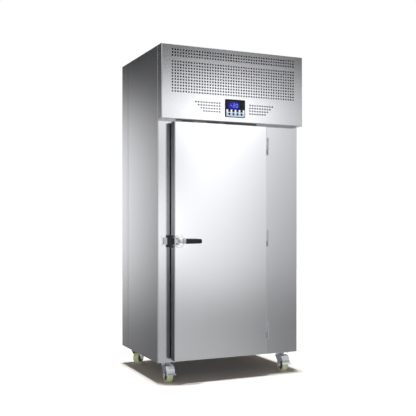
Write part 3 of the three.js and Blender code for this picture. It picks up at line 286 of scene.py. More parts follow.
def moulded(name):
    """Plastic or rubber with a fine spark-eroded texture and a little dust."""
    colour, rough, texture = MOULDED[name]
    if isinstance(colour, str):
        colour = getattr(bpy.context.scene.chiller_controller, colour)
    finish = Finish(name, specular_ior_level=0.15)
    grit = finish.noise(texture)
    dust = finish.noise(24.0, 4.0)
    shade = finish.blend(dust, scaled(colour, 0.75), scaled(colour, 1.25))
    return finish.done(shade, dust * 0.12 + (rough - 0.06), grit, 0.00004, 0.35)


def clouded(name):
    """A cloudy colour and roughness, and bumps where the table gives them."""
    noise, colours, (factor, base), relief, fixed = CLOUDED[name]
    finish = Finish(name, **fixed)
    cloud = finish.noise(*noise)
    bumps = (cloud, *relief) if relief else ()
    return finish.done(finish.blend(cloud, *colours), cloud * factor + base, *bumps)


def galvanised(name):
    """Zinc-coated sheet with its flakes of spangle."""
    finish = Finish(name, metallic=1.0)
    cells = finish.node(
        "ShaderNodeTexVoronoi", {"Vector": finish.place, "Scale": 95.0}, feature="F1"
    )
    flake, _, _ = cells.beside("Position").parts()
    toned = finish.node("ShaderNodeTexWhiteNoise", {"Vector": cells.beside("Position")})
    shade = finish.blend(toned, (0.42, 0.44, 0.46), (0.62, 0.64, 0.66))
    return finish.done(shade, toned * 0.18 + 0.34, flake * 40.0 + finish.noise(160.0), 0.00005, 0.4)


def bright_zinc(name):
    """Zinc-plated pressings: bright, slightly blue, duller where hands and water reach them."""
    finish = Finish(name, metallic=1.0)
    film = finish.noise(55.0, 3.0)
    shade = finish.blend(film, (0.62, 0.65, 0.69), (0.76, 0.78, 0.80))
    return finish.done(shade, film * 0.2 + 0.16, finish.noise(420.0), 0.00003, 0.3)


def chrome(name):
    """Plated die casting, mirror bright, with a faint film of handling."""
    finish = Finish(name, metallic=1.0)
    film = finish.noise(70.0, 4.0)
    shade = finish.blend(film, (0.84, 0.85, 0.86), (0.92, 0.92, 0.93))
    rough = finish.between(film, 0.35, 0.75, 0.05, 0.16)
    return finish.done(shade, rough, finish.noise(90.0), 0.00006, 0.25)


def membrane(name):
    """The controller's pale printed foil, a little bluer towards its foot."""
    look = bpy.context.scene.chiller_controller
    finish = Finish(name, ior=1.45)
    _, _, height = finish.place.parts()
    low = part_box("controller_housing")[0].z
    share = finish.between(height, low + 0.012, low + 0.05)
    grain = finish.noise(300.0)
    tint = finish.blend(share, look.foil_colour, (0.86, 0.91, 0.96))
    return finish.done(finish.blend(grain * 0.08, tint, (0.4, 0.5, 0.6)), grain * 0.1 + 0.28)


def display_glass(name):
    """The display's dark blue window, lit from behind and deeper towards its rim."""
    look = bpy.context.scene.chiller_controller
    finish = Finish(name, roughness=0.12, emission_strength=1.0, specular_ior_level=0.15)
    low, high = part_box("display_window")
    x, _, z = finish.place.parts()
    across = (x - (low.x + high.x) / 2) * (2 / (high.x - low.x))
    up = (z - (low.z + high.z) / 2) * (2 / (high.z - low.z))
    rim = finish.between(across**2.0 + up**2.0, 0.3, 1.7)
    cloud = finish.noise(60.0, 3.0)
    colour = look.display_colour
    lit = finish.blend(cloud * 0.6, scaled(colour, 0.9), scaled(colour, 0.45))
    finish.vary("Emission Color", finish.blend(rim, lit, scaled(colour, 0.12)))
    return finish.done(finish.blend(rim, colour, scaled(colour, 0.35)))


def lit_digit(name):
    look = bpy.context.scene.chiller_controller
    finish = Finish(name, roughness=0.3, emission_strength=0.7)
    cloud = finish.noise(250.0)
    colour = look.digit_colour
    finish.vary("Emission Color", finish.blend(cloud, scaled(colour, 0.7), colour))
    return finish.done(finish.blend(cloud, scaled(colour, 0.8), colour))


def olive_tread(name):
    """The casters' cast polyurethane, scuffed and paler where it runs on the floor."""
    look = bpy.context.scene.chiller_casters
    finish = Finish(name, subsurface_weight=0.04, subsurface_scale=0.01)
    scuff = finish.noise(85.0, 5.0)
    grit = finish.noise(900.0)
    _, _, height = finish.place.parts()
    worn = finish.between(height, 0.03, 0.0)
    colour = finish.blend(scuff, scaled(look.tread_colour, 0.8), scaled(look.tread_colour, 1.12))
    shade = finish.blend(worn * 0.25, colour, (0.36, 0.34, 0.29))
    return finish.done(shade, scuff * 0.2 + 0.42, grit + scuff * 2.0, 0.00012, 0.4)


def coil_fins(name):
    """Aluminium fins, drawn as close stripes of painted shade in the gaps between bright edges."""
    finish = Finish(name, metallic=1.0)
    x, y, _ = finish.place.parts()
    gap_shade_wave = finish.node("ShaderNodeMath", {0: (x + y) * 2600.0}, operation="SINE")
    edge = finish.between(gap_shade_wave, -0.5, 0.5)
    cloud = finish.noise(30.0, 3.0)
    bright = finish.blend(cloud, (0.56, 0.58, 0.60), (0.68, 0.70, 0.71))
    # the dark stripes are painted shade in the gaps between the fins, not a colour of the aluminium
    return finish.done(finish.blend(edge, (0.16, 0.17, 0.18), bright), cloud * 0.2 + 0.36)


MAKERS = (
    galvanised, bright_zinc, chrome, membrane, display_glass, lit_digit, olive_tread, coil_fins,
)  # fmt: skip
FINISHES = {make.__name__: make for make in MAKERS}
FINISHES |= dict.fromkeys(BRUSHED, brushed) | dict.fromkeys(MOULDED, moulded)
FINISHES |= dict.fromkeys(CLOUDED, clouded)

# The finish of each of the record's material slots.
SLOT_FINISH = {
    "brushed": "brushed_body",
    "inner": "inner_sheet",
    "galvanised": "galvanised",
    "zinc": "bright_zinc",
    "chrome": "chrome",
    "foam": "foamed",
    "gasket": "gasket_rubber",
    "black": "black_plastic",
    "keeper": "keeper_plastic",
    "display": "display_glass",
    "key": "dark_key",
    "tread": "olive_tread",
    "copper": "copper_tube",
    "fins": "coil_fins",
    "enamel": "black_enamel",
}


def finish_of(name):
    """The finish of that name, made the first time it is asked for."""
    return bpy.data.materials.get(name) or FINISHES[name](name)


# ---------------------------------------------------------------- meshes


class Shape:
    """Closed solids gathered in one mesh. Each takes the finish that was chosen last."""

    def __init__(self, finish):
        self.bm = bmesh.new()
        self.finishes = [finish]
        self.chosen = 0

    def use(self, finish):
        if finish not in self.finishes:
            self.finishes.append(finish)
        self.chosen = self.finishes.index(finish)
        return self

    def _painted(self):
        for face in self.bm.faces:
            if not face.tag:
                face.material_index = self.chosen
                face.tag = True
        return self

    def block(self, low, high, around=Matrix.Identity(4)):
        """A block between two corners, turned and moved by the matrix."""
        low, high = Vector(low), Vector(high)
        place = Matrix.Translation((low + high) / 2) @ Matrix.Diagonal((*(high - low), 1))
        bmesh.ops.create_cube(self.bm, size=1.0, matrix=around @ place)
        return self._painted()

    def rings(self, rings, closed=False):
        """A skin over rings of points. A ring of one point is a pole, and open ends are capped."""
        made = [[self.bm.verts.new(point) for point in ring] for ring in rings]
        pairs = list(zip(made, made[1:])) + ([(made[-1], made[0])] if closed else [])
        count = max(len(ring) for ring in made)
        for near, far in pairs:
            for k in range(count):
                corners = [near[k % len(near)], near[(k + 1) % len(near)]]
                corners += [far[(k + 1) % len(far)], far[k % len(far)]]
                corners = list(dict.fromkeys(corners))
                if len(corners) > 2:
                    self.bm.faces.new(corners)
        if not closed:
            for ring in (made[0], made[-1]):
                if len(ring) > 2:
                    self.bm.faces.new(ring)
        return self._painted()

    def turned(self, profile, centre, axis, sides=64):
        """A profile of (radius, way along) turned about the axis. Off it, it closes on itself."""
        facing = Vector(axis).to_track_quat("Z", "Y").to_matrix().to_4x4()
        place = Matrix.Translation(centre) @ facing
        rings = []
        for radius, along in profile:
            steps = sides if radius > 1e-6 else 1
            turn = [2 * math.pi * k / sides for k in range(steps)]
            rings.append(
                [place @ Vector((radius * math.cos(t), radius * math.sin(t), along)) for t in turn]
            )
        return self.rings(rings, closed=profile[0][0] > 1e-6)

    def rod(self, start, end, radius, sides=48):
        start, end = Vector(start), Vector(end)
        length = (end - start).length
        profile = [(0, 0), (radius, 0), (radius, length), (0, length)]
        return self.turned(profile, start, end - start, sides)

    def prism(self, outline, axis, start, end):
        """An outline swept along x, drawn in (y, z), along y, in (x, z), or along z, in (x, y)."""
        spot = {
            "x": lambda u, v, w: (w, u, v),
            "y": lambda u, v, w: (u, w, v),
            "z": lambda u, v, w: (u, v, w),
        }[axis]
        return self.rings([[spot(u, v, w) for u, v in outline] for w in (start, end)])

    def object(self, name, moved=None):
        bmesh.ops.recalc_face_normals(self.bm, faces=self.bm.faces)
        if moved is not None:
            self.bm.transform(moved)
        mesh = bpy.data.meshes.new(name)
        self.bm.to_mesh(mesh)
        self.bm.free()
        for finish in self.finishes:
            mesh.materials.append(finish_of(finish))
        return placed(name, mesh)


def placed(name, data):
    """A new object of that name in the scene."""
    piece = bpy.data.objects.new(name, data)
    bpy.context.scene.collection.objects.link(piece)
    return piece


def laid(name, points=(), faces=()):
    """A piece made straight from points and faces, or an empty one for a node tree to fill."""
    mesh = bpy.data.meshes.new(name)
    mesh.from_pydata(points, [], faces)
    return placed(name, mesh)


def applied(piece):
    """Makes the piece's modifiers part of its own mesh, and removes them."""
    depsgraph = bpy.context.evaluated_depsgraph_get()
    mesh = bpy.data.meshes.new_from_object(
        piece.evaluated_get(depsgraph), preserve_all_data_layers=True, depsgraph=depsgraph
    )
    piece.modifiers.clear()
    piece.data = mesh
    return piece


def cut_by(piece, cutter):
    """Takes the cutter's shape out of the piece."""
    cut = piece.modifiers.new("Cut", "BOOLEAN")
    cut.operation = "DIFFERENCE"
    cut.solver = "MANIFOLD"
    cut.object = cutter
    applied(piece)
    bpy.data.objects.remove(cutter)
    return piece


def eased(piece, width=0.0, segments=2, angle=35.0):
    """Rounds edges sharper than the angle, and shades the rest smooth with flats kept flat."""
    piece.data.shade_smooth()
    if width:
        bevel = piece.modifiers.new("Eased edges", "BEVEL")
        bevel.width = width
        bevel.segments = segments
        bevel.limit_method = "ANGLE"
        bevel.angle_limit = math.radians(angle)
        bevel.use_clamp_overlap = True
        applied(piece)
    piece.data.set_sharp_from_angle(angle=math.radians(angle + 5))
    weighted = piece.modifiers.new("Flat faces", "WEIGHTED_NORMAL")
    weighted.keep_sharp = True
    return applied(piece)


def merged(node, finish):
    """A copy of a CAD node, with its triangles merged into faces."""
    mesh = frame["nodes"][node].data.copy()
    mesh.materials.clear()
    mesh.materials.append(finish_of(finish))
    work = bmesh.new()
    work.from_mesh(mesh)
    bmesh.ops.remove_doubles(work, verts=work.verts, dist=1e-5)
    bmesh.ops.dissolve_limit(
        work, angle_limit=math.radians(0.3), verts=work.verts, edges=work.edges
    )
    for face in work.faces:
        face.material_index = 0
    work.to_mesh(mesh)
    work.free()
    return placed(f"{node}_finished", mesh)


def softened(node, finish, width=0.0, segments=2, angle=35.0):
    """A merged copy of a CAD node with its edges eased, which stands for the node."""
    return dressed(eased(merged(node, finish), width, segments, angle), node)


def dressed(piece, *nodes):
    """The piece stands for the nodes, on their body."""
    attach(piece, body_of(nodes[0]))
    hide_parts(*nodes)
    return piece


def riding(piece, body):
    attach(piece, body)
    return piece


def body_of(node):
    return next(b for b, nodes in frame["record"]["behaviour"]["bodies"].items() if node in nodes)


def slot_of(node):
    return next(s["material_slot"] for s in frame["record"]["subparts"] if s["node"] == node)


def joint_of(name):
    return next(joint for joint in frame["joints"] if joint["name"] == name)


def middle(node):
    low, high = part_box(node)
    return (low + high) / 2


def arc(centre, radius, start, end, steps):
    """Points on an arc of a plane, from one heading to the other in degrees."""
    turn = [math.radians(start + (end - start) * k / steps) for k in range(steps + 1)]
    return [(centre[0] + radius * math.cos(t), centre[1] + radius * math.sin(t)) for t in turn]


def rounded_outline(low, high, radius, steps=8):
    (u0, v0), (u1, v1) = low, high
    corners = [(u1 - radius, v1 - radius, 0), (u0 + radius, v1 - radius, 90)]
    corners += [(u0 + radius, v0 + radius, 180), (u1 - radius, v0 + radius, 270)]
    return [
        point for u, v, turn in corners for point in arc((u, v), radius, turn, turn + 90, steps)
    ]


def superellipse(place, across, up, power=2.8, sides=32):
    """A rounded section square to x, at the place given."""
    ring = []
    for k in range(sides):
        t = 2 * math.pi * k / sides
        c, s = math.cos(t), math.sin(t)
        u = math.copysign(abs(c) ** (2 / power), c) * across
        v = math.copysign(abs(s) ** (2 / power), s) * up
        ring.append((place[0], place[1] + u, place[2] + v))
    return ring


# ---------------------------------------------------------------- repeated pieces


class Repeat(Graph):
    """A geometry node tree with named inputs, which ends in Realize Instances and Set Material."""

    KINDS = {
        float: "NodeSocketFloat",
        int: "NodeSocketInt",
        bpy.types.Object: "NodeSocketObject",
    }

    def __init__(self, name, values):
        super().__init__(bpy.data.node_groups.new(name, "GeometryNodeTree"))
        self.values = values
        face = self.tree.interface
        face.new_socket("Geometry", in_out="INPUT", socket_type="NodeSocketGeometry")
        for label, value in values.items():
            face.new_socket(label, in_out="INPUT", socket_type=self.KINDS[type(value)])
        face.new_socket("Material", in_out="INPUT", socket_type="NodeSocketMaterial")
        face.new_socket("Geometry", in_out="OUTPUT", socket_type="NodeSocketGeometry")
        self.given = self.tree.nodes.new("NodeGroupInput")

    def __getitem__(self, label):
        return Field(self, self.given.outputs[label])

    def move(self, geometry, shift=(0, 0, 0), turn=(0, 0, 0), scale=(1, 1, 1)):
        return self.node(
            "GeometryNodeTransform",
            {"Geometry": geometry, "Translation": shift, "Rotation": turn, "Scale": scale},
        )

    def join(self, *pieces):
        return self.node("GeometryNodeJoinGeometry", {0: list(pieces)})

    def realised(self, geometry):
        return self.node("GeometryNodeRealizeInstances", {0: geometry})

    def copies(self, points, shape, turn=(0, 0, 0), scale=(1, 1, 1)):
        return self.node(
            "GeometryNodeInstanceOnPoints",
            {"Points": points, "Instance": shape, "Rotation": turn, "Scale": scale},
        )

    def grid(self, columns, rows, across, up, centre):
        """Points in columns and rows on an upright plane that faces -Y."""
        points = self.node(
            "GeometryNodeMeshGrid",
            {
                "Size X": (columns - 1.0) * across,
                "Size Y": (rows - 1.0) * up,
                "Vertices X": columns,
                "Vertices Y": rows,
            },
        )
        return self.move(points, centre, (math.pi / 2, 0, 0))

    def shape(self, label):
        """The shape of the object that the input of that name holds."""
        return self.node("GeometryNodeObjectInfo", {"Object": self[label]}, "Geometry")

    def grown(self, geometry, piece, finish, cut=False):
        """Ends the tree, and makes its result the piece's own mesh."""
        solid = geometry if cut else self.realised(geometry)
        given = self["Material"]
        final = self.node("GeometryNodeSetMaterial", {"Geometry": solid, "Material": given})
        end = self.tree.nodes.new("NodeGroupOutput")
        self.tree.links.new(final.socket, end.inputs["Geometry"])
        modifier = piece.modifiers.new(self.tree.name, "NODES")
        modifier.node_group = self.tree
        values = {**self.values, "Material": finish_of(finish)}
        for item in self.tree.interface.items_tree:
            if item.in_out == "INPUT" and item.name in values:
                modifier[item.identifier] = values[item.name]
        return applied(piece)


def inputs_of(look, names):
    """Properties of a group as the named inputs of a node tree."""
    return {name.replace("_", " ").capitalize(): getattr(look, name) for name in names}


FLUSH = 0.0009  # the height of a screw's head that lies in a pocket


def sunk_seats(seats):
    """Round pockets for the heads of screws that lie flush."""
    radius = bpy.context.scene.chiller_screws.head / 2 + 0.0004
    pockets = Shape("brushed_body")
    for point, way in seats:
        pockets.rod(point, Vector(point) + Vector(way) * 0.01, radius, 24)
    return pockets.object("pockets")


def screws(name, seats, body, head=0.0, height=0.0, finish="bright_zinc"):
    """Socket screws on one body, each at a seat: a point and the way that its head faces."""
    sizes = bpy.context.scene.chiller_screws
    piece = laid(name, [point for point, _ in seats])
    facing = piece.data.attributes.new("facing", "FLOAT_VECTOR", "POINT")
    facing.data.foreach_set("vector", [c for _, way in seats for c in way])
    tree = Repeat(
        "Screws", {"Head radius": head or sizes.head / 2, "Head height": height or sizes.height}
    )
    radius, tall = tree["Head radius"], tree["Head height"]
    cone = tree.node(
        "GeometryNodeMeshCone",
        {"Vertices": 16, "Radius Top": radius * 0.78, "Radius Bottom": radius, "Depth": tall},
    )
    rim = tree.node(
        "GeometryNodeExtrudeMesh",
        {"Mesh": cone, "Selection": cone.beside("Top"), "Offset Scale": 0.0, "Individual": False},
        mode="FACES",
    )
    mouth = tree.node(
        "GeometryNodeScaleElements",
        {"Geometry": rim, "Selection": rim.beside("Top"), "Scale": 0.55},
    )
    socket = tree.node(
        "GeometryNodeExtrudeMesh",
        {
            "Mesh": mouth,
            "Selection": rim.beside("Top"),
            "Offset Scale": tall * -0.6,
            "Individual": False,
        },
        mode="FACES",
    )
    way = tree.node("GeometryNodeInputNamedAttribute", {"Name": "facing"}, data_type="FLOAT_VECTOR")
    turn = tree.node("FunctionNodeAlignRotationToVector", {"Vector": way}, axis="Z")
    tree.grown(tree.copies(tree["Geometry"], socket, turn), piece, finish)
    return riding(piece, body)


# ---------------------------------------------------------------- sizes and colours


def length(label, text, default):
    return FloatProperty(name=label, description=text, default=default, min=0.0, unit="LENGTH")


def count(label, text, default):
    return IntProperty(name=label, description=text, default=default, min=1)


def number(label, text, default):
    return FloatProperty(name=label, description=text, default=default)


def colour(label, text, default):
    return FloatVectorProperty(
        name=label, description=text, default=default, size=3, subtype="COLOR", min=0.0, max=1.0
    )


class SteelLook(bpy.types.PropertyGroup):
    door_tone: colour("Door", "Tint of the door's brushed steel", (0.88, 0.886, 0.915))
    body_tone: colour("Body", "Tint of the body's brushed steel", (0.77, 0.776, 0.805))
    roughness: number("Roughness", "Roughness of the brushed steel", 0.15)
    bend: length("Bend", "Outer radius of a fold", 0.004)
    sheet: length("Sheet", "Thickness of the sheet", 0.0015)
    # the seam's dark strip is painted shade of the lapped overlap
    seam: length("Seam", "Width of the filler between the side and rear sheets", 0.0034)


class HoodLook(bpy.types.PropertyGroup):
    hole: length("Hole", "Diameter of the perforations", 0.0108)
    pitch: length("Pitch", "Distance from hole to hole", 0.01742)
    columns: count("Columns", "Holes across the hood", 48)
    upper_rows: count("Upper rows", "Rows of the upper band", 3)
    upper_below: length("Upper band", "Hood's top to the upper band's first row", 0.031)
    lower_rows: count("Lower rows", "Rows of the lower band", 11)
    lower_below: length("Lower band", "Hood's top to the lower band's first row", 0.101)
    wing_rows: count("Wing rows", "Rows beside the controller", 4)
    wing_columns: count("Wing columns", "Holes in the first row beside the controller", 10)
    wing_below: length("Wing", "Hood's top to the first row beside the controller", 0.329)
    wing_inner: length("Wing's start", "Middle of the hood to the first hole beside it", 0.103)


class ControllerLook(bpy.types.PropertyGroup):
    foil_colour: colour("Foil", "Pale printed foil round the keys", (0.45, 0.58, 0.75))
    display_colour: colour("Display", "Display's window", (0.012, 0.012, 0.22))
    digit_colour: colour("Digits", "Lit digits", (0.13, 0.18, 0.55))
    key_colour: colour("Keys", "Round keys", (0.012, 0.012, 0.014))
    stop_colour: colour("Last key", "Key at the right", (0.045, 0.012, 0.014))
    digit_height: length("Digit height", "Height of a digit", 0.023)
    stroke: length("Stroke", "Width of a digit's bars", 0.0028)


class HingeLook(bpy.types.PropertyGroup):
    chamfer: length("Chamfer", "Eased ends of the barrels", 0.0007)
    corner: length("Corner", "Rounded corners of the leaves", 0.004)


class LatchLook(bpy.types.PropertyGroup):
    plate_edge: length("Plate edge", "Rounding of the base plate", 0.0018)
    jaw_edge: length("Jaw edge", "Rounding of the boss", 0.0016)
    rib: length("Rib", "Thickness of a rib on the keeper's foot", 0.0022)
    ribs: count("Ribs", "Ribs on the keeper's foot", 7)


class CasterLook(bpy.types.PropertyGroup):
    tread_colour: colour("Tread", "Cast tread of the wheels", (0.37, 0.42, 0.22))
    wheel: length("Wheel", "Radius of a wheel", 0.040)
    hub: length("Hub", "Radius of the wheel's hub", 0.029)
    trail: length("Trail", "Swivel axis to the axle", 0.032)
    edge: length("Edge", "Rounding of the pressings", 0.0009)


class LouvreLook(bpy.types.PropertyGroup):
    columns: count("Columns", "Louvres side by side", 2)
    rows: count("Rows", "Louvres one above the other", 7)
    pitch: length("Pitch", "Height from louvre to louvre", 0.034)
    width: length("Width", "Width of a louvre", 0.252)
    spread: length("Spread", "Distance between the middles of the columns", 0.330)
    reach: length("Reach", "How far a louvre stands out", 0.009)
    lift: length("Lift", "Height of the lowest louvre's middle", 1.652)


class GuardLook(bpy.types.PropertyGroup):
    rings: count("Rings", "Rings of a fan guard", 9)
    spokes: count("Spokes", "Spokes of a fan guard", 6)
    spacing: length("Spacing", "Distance from ring to ring", 0.0165)
    wire: length("Wire", "Radius of the wire", 0.0014)


class ScrewLook(bpy.types.PropertyGroup):
    head: length("Head", "Diameter of a screw's head", 0.0064)
    height: length("Height", "Height of a screw's head", 0.0018)


class StudioLook(bpy.types.PropertyGroup):
    sky: number("Sky", "Strength of the even light from all round", 0.2)
    sun: number("Overhead", "Strength of the light from above", 3.2)
    front: number("Front", "Strength of the low lamp at the front left", 12.0)
    floor_colour: colour("Floor", "Pale floor", (0.96, 0.935, 0.92))


LOOKS = {
    "chiller_steel": SteelLook,
    "chiller_hood": HoodLook,
    "chiller_controller": ControllerLook,
    "chiller_hinges": HingeLook,
    "chiller_latch": LatchLook,
    "chiller_casters": CasterLook,
    "chiller_louvres": LouvreLook,
    "chiller_guards": GuardLook,
    "chiller_screws": ScrewLook,
    "chiller_studio": StudioLook,
}


# ---------------------------------------------------------------- sheet metal


def folded_shell(name, node, finish):
    """A sheet folded back on its four sides, with round folds and an open back."""
    look = bpy.context.scene.chiller_steel
    low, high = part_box(node)
    shape = Shape(finish).block(low, high)
    front = [e for e in shape.bm.edges if all(v.co.y < low.y + 1e-5 for v in e.verts)]
    bmesh.ops.bevel(
        shape.bm, geom=front, offset=look.bend, segments=6, profile=0.5, affect="EDGES"
    )
    back = [f for f in shape.bm.faces if all(v.co.y > high.y - 1e-5 for v in f.verts)]
    bmesh.ops.delete(shape.bm, geom=back, context="FACES")
    piece = shape.object(name)
    wall = piece.modifiers.new("Sheet", "SOLIDIFY")
    wall.thickness = look.sheet
    wall.offset = -1.0
    wall.use_even_offset = True
    return applied(piece)


class CHILLER_OT_finishes(bpy.types.Operator):
    """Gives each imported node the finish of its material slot"""

    bl_idname = "chiller.finishes"
    bl_label = "Finishes"

    def execute(self, context):
        special = {"hood": "brushed_hood", "door_skin": "brushed_door", "key_4": "red_key"}
        for name, node in frame["nodes"].items():
            node.data.materials.clear()
            node.data.materials.append(finish_of(special.get(name, SLOT_FINISH[slot_of(name)])))
        return {"FINISHED"}


class CHILLER_OT_sheets(bpy.types.Operator):
    """Refolds the body's sheets, the liner and the boxes, and lays dark strips of painted shade in the sides' rear
    seams
    """

    bl_idname = "chiller.sheets"
    bl_label = "Body sheets"

    def execute(self, context):
        for node, way in (("side_panel_left", -1), ("side_panel_right", 1)):
            self.side(node, way, context.scene.chiller_steel.seam)
        self.lid()
        for node in (
            "rear_panel", "floor_pan", "deck",
            "chamber_liner", "evaporator_cover", "electrical_box",
        ):  # fmt: skip
            softened(node, SLOT_FINISH[slot_of(node)])
        for node in ("tray_rack_left", "tray_rack_right"):
            softened(node, "inner_sheet", 0.0004, 1)
        return {"FINISHED"}

    def side(self, node, way, seam):
        """A side sheet, stopped short of the rear sheet for a dark strip of painted shade in the seam."""
        low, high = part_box(node)
        face = high.x if way > 0 else low.x
        start, end = high.y - seam, high.y + 0.001
        deep = sorted((face + way * 0.01, face - way * 0.0014))
        gap = Shape("brushed_body").block((deep[0], start, low.z - 1), (deep[1], end, high.z + 1))
        dressed(eased(cut_by(merged(node, "brushed_body"), gap.object("gap"))), node)
        deep = sorted((face - way * 0.0003, face - way * 0.0013))
        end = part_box("rear_panel")[0].y
        # the dark rubber strip is painted shade: it stands for the shaded overlap of the lapped seam
        shade_strip = Shape("gasket_rubber").block((deep[0], start, low.z), (deep[1], end, high.z))
        riding(shade_strip.object(f"{node}_seam"), "cabinet")

    def lid(self):
        """The top cover with its six sunk screws."""
        low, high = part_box("head_top_cover")
        seats = []
        for x in (-0.44, 0.0, 0.44):
            seats += [((x, y, high.z - 0.001), (0, 0, 1)) for y in (low.y + 0.02, high.y - 0.02)]
        lid = cut_by(merged("head_top_cover", "brushed_body"), sunk_seats(seats))
        dressed(eased(lid), "head_top_cover")
        screws("lid_screws", seats, "cabinet", height=FLUSH)


OPENING = (0.1166, 0.02, 0.0886)  # the hood's hole for the controller: across, deep and up
HOOD_SCREWS = (0.057, 0.378)  # heights of the side screws, down from the hood's top


class CHILLER_OT_hood(bpy.types.Operator):
    """Folds the hood and punches its perforations and the controller's window"""

    bl_idname = "chiller.hood"
    bl_label = "Hood"

    def execute(self, context):
        look = context.scene.chiller_hood
        low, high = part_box("hood")
        piece = folded_shell("hood_perforated", "hood", "brushed_hood")
        tree = Repeat("Perforations", inputs_of(look, HoodLook.__annotations__))
        pitch = tree["Pitch"]

        def band(rows, below, columns, across):
            drop = (tree[rows] - 1.0) * pitch * 0.5 + tree[below]
            centre = tree.joined(across, low.y, high.z - drop)
            return tree.grid(tree[columns], tree[rows], pitch, pitch, centre)

        upper = band("Upper rows", "Upper below", "Columns", 0.0)
        lower = band("Lower rows", "Lower below", "Columns", 0.0)
        half = (tree["Wing columns"] - 1.0) * pitch * 0.5
        wing = band("Wing rows", "Wing below", "Wing columns", tree["Wing inner"] + half)
        x, _, z = tree.node("GeometryNodeInputPosition").parts()
        outwards = x - tree["Wing inner"]
        downwards = (high.z - tree["Wing below"]) - z
        beyond = (outwards + downwards) / pitch > tree["Wing columns"] - 0.5
        wing = tree.node("GeometryNodeDeleteGeometry", {"Geometry": wing, "Selection": beyond})
        points = tree.join(upper, lower, wing, tree.move(wing, scale=(-1, 1, 1)))
        punch = tree.node(
            "GeometryNodeMeshCylinder",
            {"Vertices": 12, "Radius": tree["Hole"] * 0.5, "Depth": 0.02},
        )
        holes = tree.realised(tree.copies(points, punch, turn=(math.pi / 2, 0, 0)))
        seat = middle("controller_housing")
        window = tree.node("GeometryNodeMeshCube", {"Size": OPENING})
        window = tree.move(window, (seat.x, low.y, seat.z))
        cut = tree.node(
            "GeometryNodeMeshBoolean",
            {"Mesh 1": tree["Geometry"], "Mesh 2": [holes, window]},
            operation="DIFFERENCE",
            solver="MANIFOLD",
        )
        tree.grown(cut, piece, "brushed_hood")
        seats = []
        for below in HOOD_SCREWS:
            for x, way in ((low.x, -1), (high.x, 1)):
                seats.append(((x - way * 0.001, high.y - 0.0075, high.z - below), (way, 0, 0)))
        dressed(eased(cut_by(piece, sunk_seats(seats))), "hood")
        screws("hood_screws", seats, "cabinet", height=FLUSH)
        self.filter(low, high)
        return {"FINISHED"}

    def filter(self, low, high):
        """The black dust filter close behind the perforations, cut away round the controller; its near-black is
        painted shade that darkens the holes.
        """
        left, right, foot, top = low.x + 0.045, high.x - 0.045, low.z + 0.040, high.z - 0.014
        half, lift = 0.076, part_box("controller_housing")[1].z + 0.004
        outline = [(left, foot), (-half, foot), (-half, lift), (half, lift), (half, foot)]
        outline += [(right, foot), (right, top), (left, top)]
        # the sheet's near-black colour is painted shade behind the holes
        mat = Shape("filter_foam").prism(outline, "y", low.y + 0.0035, low.y + 0.0095)
        riding(mat.object("dust_filter"), "cabinet")


# ---------------------------------------------------------------- controller

# A digit's bars: how far across and up from its middle, and whether they stand upright.
BARS = {
    "middle": (0.0, 0.0, False),
    "top": (0.0, 1.0, False),
    "foot": (0.0, -1.0, False),
    "upper_left": (-1.0, 0.5, True),
    "upper_right": (1.0, 0.5, True),
    "lower_left": (-1.0, -0.5, True),
    "lower_right": (1.0, -0.5, True),
}
FIGURES = {
    "-": ("middle",),
    "2": ("top", "upper_right", "middle", "lower_left", "foot"),
    "0": ("top", "upper_left", "upper_right", "lower_left", "lower_right", "foot"),
}


